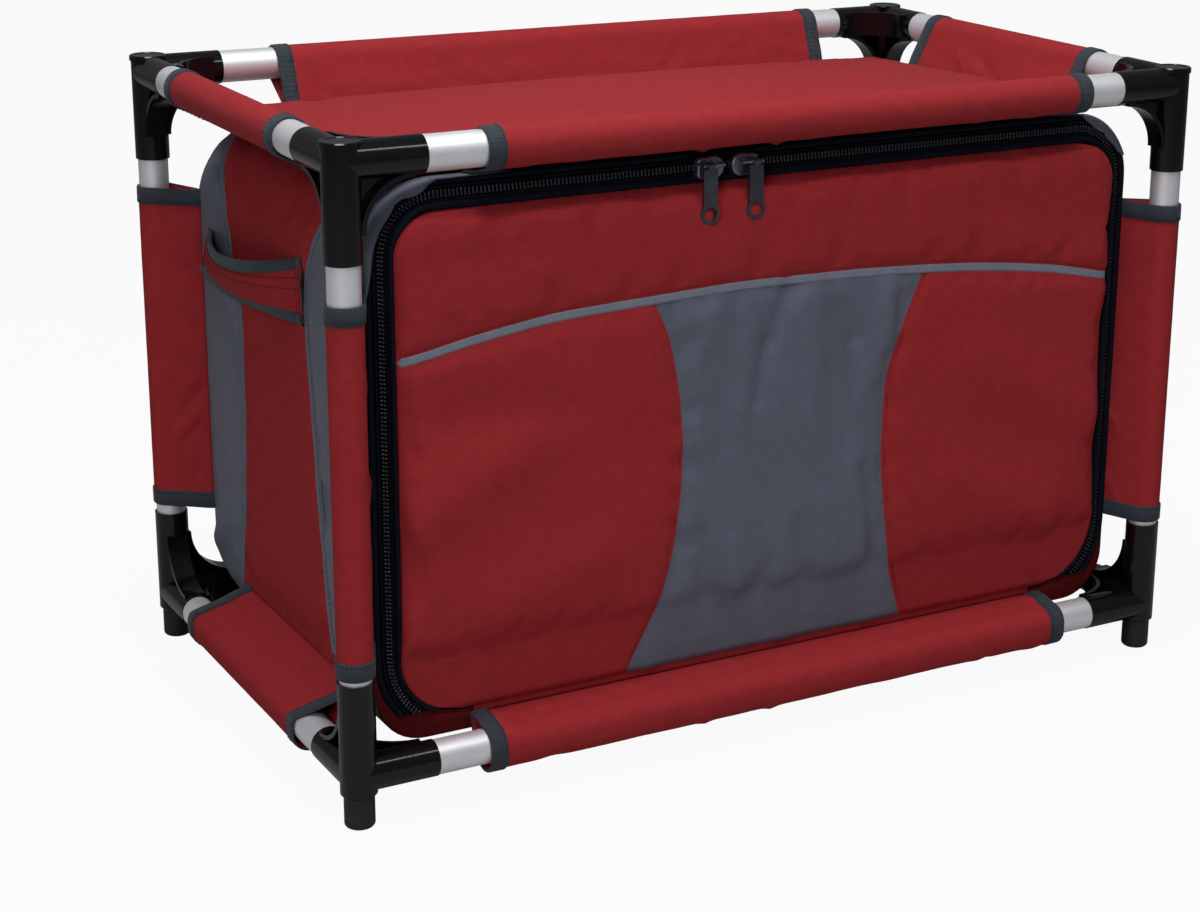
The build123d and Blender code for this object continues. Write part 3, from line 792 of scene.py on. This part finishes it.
# Seams of the grey panel: along its top as (x, height), and down its sides as (height, x)
STRIPE = (
    (-288, 310), (-229, 321), (-171, 328), (-103, 331), (-32, 333), (59, 331), (146, 326), (229, 316),
    (295, 302),
)
WAIST_LEFT = ((58, -119), (109, -96), (166, -84), (217, -80), (254, -82), (298, -90), (330, -103))
WAIST_RIGHT = ((58, 115), (104, 100), (152, 90), (199, 86), (245, 88), (288, 101), (330, 119))
# Height of the padding at a distance in from the door's side, its top and its base
SIDE_PADDING = ((0, 0), (0.6, 3.6), (1.8, 7.0), (4.8, 9.0), (11.5, 10.4), (24, 11.2))
TOP_PADDING = ((0, 0), (0.9, 3.2), (3.7, 6.4), (9.2, 8.7), (21, 10.3), (42, 11.2))
BASE_PADDING = ((0, 0.4), (27, 2.6), (42, 4.6), (56, 8.2), (64, 9.4), (80, 10.6), (100, 11.2))
# Soft creases on the door: both ends as (x, z), width and height
CREASES = (
    ((2, 326), (-14, 290), 6, -3.6),
    ((-14, 290), (-22, 250), 7, -2.6),
    ((43, 310), (58, 284), 7, -3.2),
    ((58, 284), (60, 246), 6, -2.4),
    ((20, 306), (14, 226), 17, 2.8),
    ((34, 168), (52, 96), 6, 3.0),
    ((14, 150), (30, 84), 7, -2.8),
    ((70, 186), (86, 100), 6, -2.8),
    ((54, 196), (68, 120), 8, 2.6),
    ((-66, 156), (-52, 76), 7, -2.8),
    ((-41, 146), (-33, 66), 8, 2.8),
    ((-10, 124), (-20, 66), 7, -2.6),
    ((-66, 312), (-72, 226), 10, 2.4),
    ((90, 316), (74, 256), 7, 2.4),
    ((-286, 204), (-200, 246), 24, 4.4),
    ((-262, 270), (-180, 262), 20, -2.8),
    ((-150, 156), (-224, 132), 22, 3.2),
    ((-270, 372), (-150, 386), 12, -2.0),
    ((170, 374), (262, 350), 14, -2.2),
    ((170, 256), (268, 200), 24, 3.6),
    ((150, 166), (236, 126), 20, 3.0),
)
DOOR_TOP = BAG_TOP - DOOR_INSET
DOOR_HALF = BAG_X - DOOR_INSET + DOOR_SPREAD
DOOR_FACE = -169.9
DOOR_TOP_R = TOP_CORNER_R - DOOR_INSET
DOOR_BASE_R = ZIP_CORNER_R - DOOR_INSET
DOOR_CORNERS = ((DOOR_TOP - DOOR_TOP_R, DOOR_TOP_R, 1), (DOOR_BOTTOM + DOOR_BASE_R, DOOR_BASE_R, -1))


def door_half(z):
    """Half the door's width at a height."""
    for centre, radius, way in DOOR_CORNERS:
        past = (z - centre) * way
        if past > 0:
            return DOOR_HALF - radius + arc_rise(radius, past)
    return DOOR_HALF


def edge_rise(x, z):
    """Height of the padding as the door's edges shape it: steep at the sides, softer at the top."""
    for centre, radius, way in DOOR_CORNERS:
        past_z = (z - centre) * way
        past_x = abs(x) - (DOOR_HALF - radius)
        if past_z > 0 and past_x > 0:
            inside = max(0.0, radius - hypot(past_x, past_z))
            sideways = atan2(past_x, past_z) / (pi / 2)
            rise = lerp(between(TOP_PADDING, inside), between(SIDE_PADDING, inside), sideways)
            return min(rise, between(BASE_PADDING, z - DOOR_BOTTOM))
    return min(
        between(SIDE_PADDING, max(0.0, DOOR_HALF - abs(x))),
        between(TOP_PADDING, max(0.0, DOOR_TOP - z)),
        between(BASE_PADDING, z - DOOR_BOTTOM),
    )


def creased(x, z):
    """Height that the door's creases add at a place."""
    total = 0.0
    for (ax, az), (bx, bz), width, height in CREASES:
        span_x, span_z = bx - ax, bz - az
        share = clamp(((x - ax) * span_x + (z - az) * span_z) / (span_x**2 + span_z**2))
        gap = hypot(x - ax - share * span_x, z - az - share * span_z) / width
        if gap < 2.6:
            total += height * exp(-gap * gap)
    return total


def door_depth(x, z):
    """How far forward the padded cloth stands at a place on the door."""
    rise = edge_rise(x, z)
    slack = smooth(rise / 9)
    stripe_gap = z - between(STRIPE, x)
    rise -= 1.8 * exp(-((abs(stripe_gap) / 5.0) ** 2))
    left, right = between(WAIST_LEFT, z), between(WAIST_RIGHT, z)
    below = smooth(-stripe_gap / 6)
    for seam in (left, right):
        rise -= 1.5 * below * exp(-(((x - seam) / 4.0) ** 2))
    inside = smooth((x - left) / 14) * smooth((right - x) / 14) * below
    hang = 2.4 * ripple(x * 1.6, 0, z * 0.3, 30, 2.4) + 0.9 * ripple(x * 1.2, 0, z * 0.4, 14, 8.1)
    rise += inside * hang
    rise += slack * (1.2 * ripple(x, 0, z, 75, 0.7) + 0.4 * ripple(x, 0, z, 26, 4.4) + creased(x, z))
    return DOOR_FACE - max(0.0, rise)


# Height over the hinge where the padding is held flat, so that the open door clears the sleeve below it
HINGE_ZONE = 46.0
# Steps of the door's grid beside and on the grey panel, and below and over the stripe
DOOR_COLUMNS = (40, 44, 40)
DOOR_ROWS = (60, 22)


def door_place(u, v):
    """Warps the door's grid so that its lines follow the sewn seams, and crowd at its sides."""
    x = lerp(-DOOR_HALF, DOOR_HALF, u / sum(DOOR_COLUMNS))
    for _ in range(4):
        stripe = between(STRIPE, x)
        if v <= DOOR_ROWS[0]:
            z = lerp(DOOR_BOTTOM, stripe, v / DOOR_ROWS[0])
        else:
            z = lerp(stripe, DOOR_TOP, (v - DOOR_ROWS[0]) / DOOR_ROWS[1])
        half = door_half(z)
        stops = (-half, between(WAIST_LEFT, z), between(WAIST_RIGHT, z), half)
        k = 0 if u <= DOOR_COLUMNS[0] else 1 if u <= sum(DOOR_COLUMNS[:2]) else 2
        share = (u - sum(DOOR_COLUMNS[:k])) / DOOR_COLUMNS[k]
        if k == 0:
            share = share**1.35
        elif k == 2:
            share = 1 - (1 - share) ** 1.35
        x = lerp(stops[k], stops[k + 1], share)
    return x, z


def make_door():
    columns = sum(DOOR_COLUMNS) + 1
    rows = sum(DOOR_ROWS) + 1
    places = [[door_place(u, v) for u in range(columns)] for v in range(rows)]
    front = [(x, door_depth(x, z), z) for row in places for x, z in row]
    back = [(x, DOOR_BACK, z) for row in places for x, z in row]
    faces = grid_faces(rows, columns)
    sewn = []
    for index in range(len(front)):
        row, column = divmod(index, columns)
        on_rim = row in (0, rows - 1) or column in (0, columns - 1)
        on_stripe = abs(row - DOOR_ROWS[0]) < 2
        on_waist = row < DOOR_ROWS[0] and column in (DOOR_COLUMNS[0], sum(DOOR_COLUMNS[:2]))
        if on_rim or on_waist or on_stripe or front[index][2] < DOOR_BOTTOM + HINGE_ZONE:
            sewn.append(index)
    front = settle(front, faces, sewn, 0.02, 0.8, 2.6)
    picks = []
    for row in range(rows - 1):
        for column in range(columns - 1):
            waist = DOOR_COLUMNS[0] <= column < sum(DOOR_COLUMNS[:2])
            picks.append(1 if waist and row < DOOR_ROWS[0] else 0)
    shift = len(front)
    faces += [[k + shift for k in face[::-1]] for face in faces]
    picks += [2] * (len(faces) - len(picks))
    rim = list(range(columns))
    rim += [row * columns + columns - 1 for row in range(1, rows)]
    rim += [(rows - 1) * columns + k for k in range(columns - 2, -1, -1)]
    rim += [row * columns for row in range(rows - 2, 0, -1)]
    for a, b in zip(rim, rim[1:] + rim[:1]):
        faces.append((b, a, a + shift, b + shift))
        picks.append(0)
    obj = build(
        "door_pad", front + back, faces, [red_cloth, grey_cloth, lining_cloth], picks,
        body="door", slot="door_fabric", nodes=["door_panel"],
    )


make_door()

# The stripe is a folded light tape sewn over the seam
stripe_rows = []
for offset, proud in ((-3.2, -0.4), (-3.1, 0.7), (-1.5, 0.8), (1.5, 0.8), (3.1, 0.7), (3.2, -0.4)):
    row = []
    for x in spread(-DOOR_HALF + 0.8, DOOR_HALF - 0.8, 200):
        z = between(STRIPE, x)
        row.append((x, door_depth(x, z + offset * 0.3) - proud, z + offset))
    stripe_rows.append(row)
lattice("door_stripe", stripe_rows, [stripe_cloth], body="door", slot="grey_fabric")


def over_door(x, z):
    """A place just over the padded cloth."""
    return (x, door_depth(x, z) - 0.4, z)


door_seams = [[over_door(x, between(STRIPE, x) + 5.6) for x in spread(-DOOR_HALF + 2, DOOR_HALF - 2, 200)]]
for table, shift in ((WAIST_LEFT, -3.0), (WAIST_RIGHT, 3.0)):
    door_seams.append([over_door(between(table, z) + shift, z) for z in spread(DOOR_BOTTOM + 2, 325, 80)])
stitches("door_stitches", door_seams, thread_red, "door", "door_fabric", 2.3, 3.3, 0.3)

# Sewn hinge along the door's lower edge, from the bag up to the door as (height, depth)
HINGE_HALF = 236.0
hinge_rows = []
for z, y in ((53.5, -168.3), (56.0, -168.9), (58.0, -169.2), (60.0, -169.4), (62.0, -169.6)):
    hinge_rows.append([(x, y, z) for x in spread(-HINGE_HALF, HINGE_HALF, 60)])
hinge_cloth = lattice("door_hinge_cloth", hinge_rows, [red_cloth], body=None, slot="door_fabric")
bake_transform(hinge_cloth)


# Sleeves: cloth wrapped round each tube and sewn to the bag or the tray

RING_POINTS = 56
# Across a binding: distance in from the sleeve's end, height over the cloth, and 1 where it is ribbed
BINDING_PROFILE = (
    (BINDING, 0.05, 0), (BINDING - 0.3, 0.75, 1), (BINDING / 2, 0.85, 1), (0.2, 0.75, 1),
    (-0.7, 0.25, 0), (-0.7, -0.55, 0), (0.3, -0.75, 0),
)


def hull(points):
    """Convex outline of points in a plane, anticlockwise."""
    points = sorted(set(points))
    chains = []
    for order in (points, points[::-1]):
        chain = []
        for p in order:
            while len(chain) > 1:
                (ax, ay), (bx, by) = chain[-2], chain[-1]
                if (bx - ax) * (p[1] - ay) - (by - ay) * (p[0] - ax) > 0:
                    break
                chain.pop()
            chain.append(p)
        chains.append(chain[:-1])
    return chains[0] + chains[1]


def wrap(radius, slack, tip, count):
    """Even points round a tube's loop of cloth, from its seam and back to it, and its girth."""
    cloud = []
    for cx, cy, r in ((0, 0, radius), (0, -slack, radius), (*tip, SEAM_R)):
        for k in range(120):
            angle = pi * k / 60
            cloud.append((round(cx + r * cos(angle), 4), round(cy + r * sin(angle), 4)))
    outline = hull(cloud)
    start = max(range(len(outline)), key=lambda k: outline[k][0] * tip[0] + outline[k][1] * tip[1])
    outline = outline[start:] + outline[:start]
    closed = outline + outline[:1]
    lengths = [dist(a, b) for a, b in zip(closed, closed[1:])]
    girth = sum(lengths)
    points = []
    for k in range(count):
        at = girth * k / count
        for step, length in enumerate(lengths):
            if at <= length:
                share = at / length if length else 0
                points.append(tuple(lerp(a, b, share) for a, b in zip(closed[step], closed[step + 1])))
                break
            at -= length
    return points, girth


def draw_folds(length, seed):
    """Folds across a sleeve's flat walls, closer together towards its ends.

    Each is (wall, place along the sleeve, slant, width, height).
    """
    draw = random.Random(seed)
    folds = []
    for _ in range(round(length / 18)):
        end = draw.choice((-1, 1))
        place = end * (length / 2) * (1 - 0.96 * draw.random() ** 1.5)
        slant = -end * draw.uniform(0.3, 1.5)
        folds.append((draw.choice((-1, 1)), place, slant, draw.uniform(3.5, 11.0), draw.uniform(-2.0, 2.3)))
    return folds


def sleeve(name, origin, x_dir, z_dir, radius, tip, length, slack, seed, look, skew=0.0):
    """A sleeve with its two bound ends; skew is how far its seam has slid along the tube."""
    centre, across, along = Vector(origin), Vector(x_dir), Vector(z_dir)
    up = along.cross(across)
    reach = hypot(*tip)
    folds = draw_folds(length, seed)

    def place(point, normal, at, stand):
        x, y = point[0] + normal[0] * stand, point[1] + normal[1] * stand
        share = clamp((point[0] * tip[0] + point[1] * tip[1]) / reach**2)
        return centre + across * x + up * y + along * (at + skew * share)

    def stand_at(point, at):
        away = hypot(*point)
        free = smooth((away - radius) / (reach - radius) * 1.6) * smooth((reach + SEAM_R - away) / 9)
        wall = 1 if point[0] * tip[1] - point[1] * tip[0] > 0 else -1
        stand = 0.9 * ripple(at, point[0] * 2, point[1] * 2, 38, seed) + 0.3
        for fold_wall, fold_at, slant, width, height in folds:
            gap = (at - fold_at - slant * (away - radius)) / width
            if fold_wall == wall and abs(gap) < 3:
                stand += height * exp(-gap * gap)
        return free * stand + 0.12 * (ripple(at, point[0], point[1], 13, seed + 3) + 1)

    ring, girth = wrap(radius, slack, tip, RING_POINTS)
    normals = [outward(ring, k) for k in range(RING_POINTS)]
    rows = []
    for at in spread(-length / 2, length / 2, round(length / 3.6)):
        rows.append([place(p, n, at, stand_at(p, at)) for p, n in zip(ring, normals)])
    cloth = lattice(name + "_cloth", rows, [look], closed=True, nodes=[name])
    thicken(cloth, 0.7)
    # Both ends are bound, and a row of stitches runs round each binding
    fine, _ = wrap(radius, slack, tip, 2 * round(girth / 1.5))
    fine_normals = [outward(fine, k) for k in range(len(fine))]
    seams = []
    for side in (-1, 1):
        rows = []
        end = side * (length / 2)
        for inward, proud, rib in BINDING_PROFILE:
            row = []
            for k, (p, n) in enumerate(zip(fine, fine_normals)):
                stand = stand_at(p, end - side * BINDING / 2) + proud + (0.16 if rib and k % 2 else 0)
                row.append(place(p, n, end - side * inward, stand))
            rows.append(row)
        lattice(f"{name}_binding_{'ab'[side > 0]}", rows, [binding_cloth], closed=True, slot="grey_fabric")
        at = side * (length / 2 - BINDING + 1.6)
        seams.append([place(p, n, at, stand_at(p, at) + 0.95) for p, n in zip(ring, normals)])
    stitches(name + "_stitches", seams, thread_dark, "frame", "grey_fabric", **SMALL)


# Half the length of the tray's floor, and the depths of its front and rear edges
FLOOR_X = 302.0
FLOOR_FRONT = -160.0
FLOOR_REAR = 166.0
SEAM_GAP = SEAM_R + 0.1
# Seam of each sleeve, from the middle of its tube: distance in and height
TIPS = {
    "tray": {
        "front": (POST_Y + FLOOR_FRONT - SEAM_GAP, roof_z(FLOOR_FRONT) + 2 - TOP_RAIL_Z),
        "rear": (POST_Y - FLOOR_REAR - SEAM_GAP, ROOF_REAR_Z + 2 - TOP_RAIL_Z),
        "side": (POST_X - FLOOR_X - SEAM_GAP, roof_z(0) + 1 - TOP_RAIL_Z),
    },
    "base": {
        "front": (POST_Y + BAG_FRONT - SEAM_R - 0.2, 52.0 - BASE_RAIL_Z),
        "rear": (POST_Y - BAG_REAR + 4.5, 68.0 - BASE_RAIL_Z),
        "side": (POST_X - BAG_X - 0.3, SIDE_SEAM_Z - BASE_RAIL_Z),
    },
}
# The side sleeves of the base have slid forward along the bag
BASE_SKEW = 38.0
# The way in from the tubes on each side of the table
INWARD = {"front": (0, 1), "rear": (0, -1), "left": (1, 0), "right": (-1, 0)}

# The tray sleeves take the red darkened to 0.92, painted shade on the top; the base sleeves take the plain
# red
for level, rail_z, slack, prefix, look, skew in (
    ("tray", TOP_RAIL_Z, 1.0, "top_rail", tray_cloth, 0.0),
    ("base", BASE_RAIL_Z, 4.5, "base_rail", red_cloth, BASE_SKEW),
):
    for seed, (end, (middle, length)) in enumerate(LOOP_SPANS[level].items()):
        in_x, in_y = INWARD[end]
        origin = (-in_x * POST_X if in_x else middle, -in_y * POST_Y if in_y else middle, rail_z)
        tip = TIPS[level]["side" if in_x else end]
        sleeve(
            f"{level}_loop_{end}", origin, (in_x, in_y, 0), (in_y, -in_x, 0),
            LOOP_R, tip, length, slack, seed * 1.7, look, in_x * skew,
        )

for seed, (corner, (side_x, side_y)) in enumerate(CORNERS.items()):
    seam_y = BAG_REAR - 13 if side_y > 0 else BAG_FRONT + 9
    low, high = POST_LOOP_ENDS[side_y]
    origin = (side_x * POST_X, side_y * POST_Y, (low + high) / 2)
    tip = (POST_X - BAG_X + 1.5, abs(side_y * POST_Y - seam_y))
    sleeve(
        f"post_loop_{corner}", origin, (-side_x, 0, 0), (0, 0, side_x * side_y),
        POST_LOOP_R, tip, high - low, 0.0, 5 + seed * 2.3, red_cloth,
    )


# Tray floor: cloth drawn over the bag's crowned roof


def floor_z(x, y):
    share_y = (y - FLOOR_FRONT) / (FLOOR_REAR - FLOOR_FRONT)
    edge = lerp(roof_z(FLOOR_FRONT), ROOF_REAR_Z, share_y) + 3.3
    crown = (1 - (2 * share_y - 1) ** 2) * (1 - abs(x / FLOOR_X) ** 2.4)
    soft = 0.9 * ripple(x, y, 0, 60, 6.3) + 0.3 * ripple(x, y, 0, 22, 2.2)
    return edge + 16.5 * crown + crown * soft


FLOOR_ROWS = 75
FLOOR_COLUMNS = 131

floor_points = []
for y in spread(FLOOR_FRONT - 1.0, FLOOR_REAR + 1.0, FLOOR_ROWS - 1):
    for x in spread(-FLOOR_X - 1, FLOOR_X + 1, FLOOR_COLUMNS - 1):
        floor_points.append((x, y, floor_z(x, y)))
floor_faces = grid_faces(FLOOR_ROWS, FLOOR_COLUMNS)
floor_sewn = []
for index in range(len(floor_points)):
    row, column = divmod(index, FLOOR_COLUMNS)
    if min(row, FLOOR_ROWS - 1 - row, column, FLOOR_COLUMNS - 1 - column) < 2:
        floor_sewn.append(index)
floor_points = settle(floor_points, floor_faces, floor_sewn, 0.012, 0.5, 2.2)
# The floor takes the red darkened to 0.92, painted shade on its upward face
floor_cloth = build(
    "tray_floor_cloth", floor_points, floor_faces, [tray_cloth], slot="tray_fabric", nodes=["tray_floor"]
)
thicken(floor_cloth, 1.2)

SEAM_INSET = 4.0
x0, x1 = -FLOOR_X + SEAM_INSET, FLOOR_X - SEAM_INSET
y0, y1 = FLOOR_FRONT + SEAM_INSET, FLOOR_REAR - SEAM_INSET
corners = ((x0, y0), (x1, y0), (x1, y1), (x0, y1), (x0, y0))
path = []
for (ax, ay), (bx, by) in zip(corners, corners[1:]):
    for x, y in list(zip(spread(ax, bx, 80), spread(ay, by, 80)))[:-1]:
        path.append((x, y, floor_z(x, y) + 0.25))
stitches("tray_floor_stitches", [path], thread_red, "frame", "tray_fabric")


# Carry handles: a wide band bowed out from each side, with a sewn ridge and both edges bound

HANDLE_FRONT = -67.0
HANDLE_REAR = 136.0
HANDLE_TAB = 9.0
HANDLE_BULGE = 15.0
# Heights of the band's edges at its front end, middle and rear end
HANDLE_LOWER = (312.0, 308.0, 303.0)
HANDLE_UPPER = (359.0, 340.0, 342.0)
# How much further forward the upper edge ends at the rear
HANDLE_SLANT = 20.0
# Place of the ridge across the band
RIDGE = 0.62


def handle_z(heights, share):
    """A curve through three heights, as share runs from 0 to 1."""
    front, middle, rear = heights
    ends = front * (1 - share) * (1 - 2 * share), rear * share * (2 * share - 1)
    return ends[0] + middle * 4 * share * (1 - share) + ends[1]


def handle_point(sign, y, across, proud):
    """across runs from 0 at the lower edge to 1 at the upper one."""
    bowed = (y - HANDLE_FRONT - HANDLE_TAB) / (HANDLE_REAR - HANDLE_FRONT - 2 * HANDLE_TAB)
    bow = sin(pi * clamp(bowed)) ** 0.8
    soft = 0.8 * ripple(y, across * 30, 0, 26, 9.4) * bow
    share = (y - HANDLE_FRONT) / (HANDLE_REAR - HANDLE_FRONT)
    z = lerp(handle_z(HANDLE_LOWER, share), handle_z(HANDLE_UPPER, share), across)
    tab = 3.2 + max(0.0, bag_softness(BAG_X, y, z))
    out = tab + (HANDLE_BULGE - 4 + 8 * across) * bow + soft + proud
    y -= HANDLE_SLANT * across * share**2
    return (sign * (BAG_X + out), y + lean(y, z), z)


for side, sign in (("left", -1), ("right", 1)):
    rows = []
    for across in spread(0, 1, 16):
        swell = 0.5 * sin(pi * across) + 1.3 * exp(-(((across - RIDGE) / 0.07) ** 2))
        rows.append([handle_point(sign, y, across, swell) for y in spread(HANDLE_FRONT, HANDLE_REAR, 80)])
    # On the left the thickness is negative, and that also swaps the faces that the two looks go to
    looks = [lining_cloth, red_cloth] if sign < 0 else [red_cloth, lining_cloth]
    band = lattice(f"handle_{side}_cloth", rows, looks, nodes=[f"handle_{side}"])
    thicken(band, 2.0 * sign, 1)
    for edge, base, inward in (("lower", 0.0, 1), ("upper", 1.0, -1)):
        rows = []
        for turn in range(16):
            angle = 2 * pi * turn / 16
            row = []
            for j, y in enumerate(spread(HANDLE_FRONT, HANDLE_REAR, 140)):
                rib = 0.14 if j % 2 else 0.0
                x, place_y, z = handle_point(sign, y, base, (2.0 + rib) * cos(angle) - 0.8)
                row.append((x, place_y, z + 3.6 * inward + (4.4 + rib) * sin(angle)))
            rows.append(row)
        rows.append(rows[0])
        lattice(f"handle_{side}_{edge}_binding", rows, [binding_cloth], slot="grey_fabric")
    paths = []
    for across in (RIDGE - 0.09, RIDGE + 0.09):
        places = spread(HANDLE_FRONT + 1, HANDLE_REAR - 1, 80)
        paths.append([handle_point(sign, y, across, 0.95) for y in places])
    stitches(f"handle_{side}_stitches", paths, thread_dark, "frame")
    paths = []
    for y in (HANDLE_FRONT + 3, HANDLE_FRONT + 9, HANDLE_REAR - 9, HANDLE_REAR - 3):
        paths.append([handle_point(sign, y, across, 1.0) for across in spread(0.12, 0.88, 10)])
    stitches(f"handle_{side}_tab_stitches", paths, thread_red, "frame")


# Divider under the shelf: a soft panel, slightly slack

divider_low, divider_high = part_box("shelf_divider")
divider_low = [c / MM for c in divider_low]
divider_high = [c / MM for c in divider_high]
DIVIDER_ROWS = 16
DIVIDER_COLUMNS = 24
points = []
for face in (-1, 1):
    for k, z in enumerate(spread(divider_low[2] + 0.2, divider_high[2] - 0.2, DIVIDER_ROWS)):
        for j, y in enumerate(spread(divider_low[1], divider_high[1], DIVIDER_COLUMNS)):
            rim = smooth(min(j, DIVIDER_COLUMNS - j, k, DIVIDER_ROWS - k) / 2)
            bend = 1.6 * ripple(0, y, z, 60, 4.0) * rim
            points.append((face * (0.7 + 0.8 * rim) + bend, y, z))
divider_faces = grid_faces(DIVIDER_ROWS + 1, DIVIDER_COLUMNS + 1)
divider_faces += [[k + len(points) // 2 for k in face[::-1]] for face in divider_faces]
divider = build(
    "divider_pad", points, divider_faces, [grey_cloth], slot="grey_fabric", nodes=["shelf_divider"]
)


# Floor, light and camera

FLOOR_SIZE = 6.0
FLOOR_GREY = (0.45, 0.45, 0.45, 1)
WHITE = (1, 1, 1, 1)
# How much of the floor glows white where the camera sees it directly
FLOOR_GLOW = 0.94
AMBIENT = 0.15

# Camera fitted to the tube joints in the photo: angles in degrees, place in metres
CAMERA_AZIMUTH = -29.90
CAMERA_ELEVATION = 16.37
CAMERA_ROLL = 0.66
CAMERA_PLACE = (-0.869, -1.561, 0.739)
CAMERA_LENS = 72.54
CAMERA_SHIFT = (-0.075, -0.0629)


def mixed(tree, share, first, second):
    """One shader's output turning into another's by a share."""
    return node(tree, "MixShader", {0: share, 1: first, 2: second}).outputs[0]


def camera_ray(tree):
    """1 where the camera sees a surface directly."""
    return node(tree, "LightPath").outputs["Is Camera Ray"]


def stage_floor():
    made, tree, shader, _ = material("studio_floor")
    feed(tree, shader, {"Base Color": FLOOR_GREY, "Roughness": 0.9})
    glow = node(tree, "Emission", {"Color": WHITE, "Strength": 1.0})
    share = node(tree, "Math", {0: camera_ray(tree), 1: FLOOR_GLOW}, operation="MULTIPLY")
    surface = mixed(tree, share.outputs[0], shader.outputs[0], glow.outputs[0])
    feed(tree, tree.nodes["Material Output"], {"Surface": surface})
    mesh = bpy.data.meshes.new("studio_floor")
    corners = [(x * FLOOR_SIZE, y * FLOOR_SIZE, 0) for x, y in ((-1, -1), (1, -1), (1, 1), (-1, 1))]
    mesh.from_pydata(corners, [], [(0, 1, 2, 3)])
    mesh.materials.append(made)
    floor = placed("studio_floor", mesh)


stage_floor()

world = bpy.data.worlds.new("studio")
scene.world = world
world.use_nodes = True
sky = world.node_tree
sky.nodes.clear()
ambient = node(sky, "Background", {"Color": WHITE, "Strength": AMBIENT})
white = node(sky, "Background", {"Color": WHITE, "Strength": 1.0})
choice = mixed(sky, camera_ray(sky), ambient.outputs[0], white.outputs[0])
node(sky, "OutputWorld", {"Surface": choice})


def lamp(name, place, aim, size, power, length=None):
    """A round area lamp, or with a length a strip that lies along its own X."""
    light = bpy.data.lights.new(name, "AREA")
    light.shape = "RECTANGLE" if length else "DISK"
    light.size = length or size
    if length:
        light.size_y = size
    light.energy = power
    obj = placed(name, light)
    obj.location = place
    obj.rotation_euler = (Vector(aim) - Vector(place)).to_track_quat("-Z", "Y").to_euler()


lamp("key", (-0.4, -0.3, 2.4), (0, 0, 0.3), 1.0, 31)
lamp("fill", (-1.6, -1.6, 1.3), (0, 0, 0.25), 0.8, 10)
lamp("front_strip", (0.0, -1.1, 1.9), (0, 0, 0.4), 0.11, 11, length=1.8)

azimuth = radians(CAMERA_AZIMUTH)
elevation = radians(CAMERA_ELEVATION)
roll_angle = radians(CAMERA_ROLL)
right = Vector((cos(azimuth), sin(azimuth), 0))
back = Vector((sin(azimuth) * cos(elevation), -cos(azimuth) * cos(elevation), sin(elevation)))
up = back.cross(right)
rolled_right = right * cos(roll_angle) + up * sin(roll_angle)
rolled_up = -right * sin(roll_angle) + up * cos(roll_angle)
camera = bpy.data.cameras.new("camera")
camera.lens = CAMERA_LENS
camera.sensor_width = 36
camera.shift_x, camera.shift_y = CAMERA_SHIFT
camera_object = placed("camera", camera)
turn = Matrix((rolled_right, rolled_up, back)).transposed()
camera_object.matrix_world = Matrix.Translation(CAMERA_PLACE) @ turn.to_4x4()
scene.camera = camera_object
scene.view_settings.view_transform = "Standard"
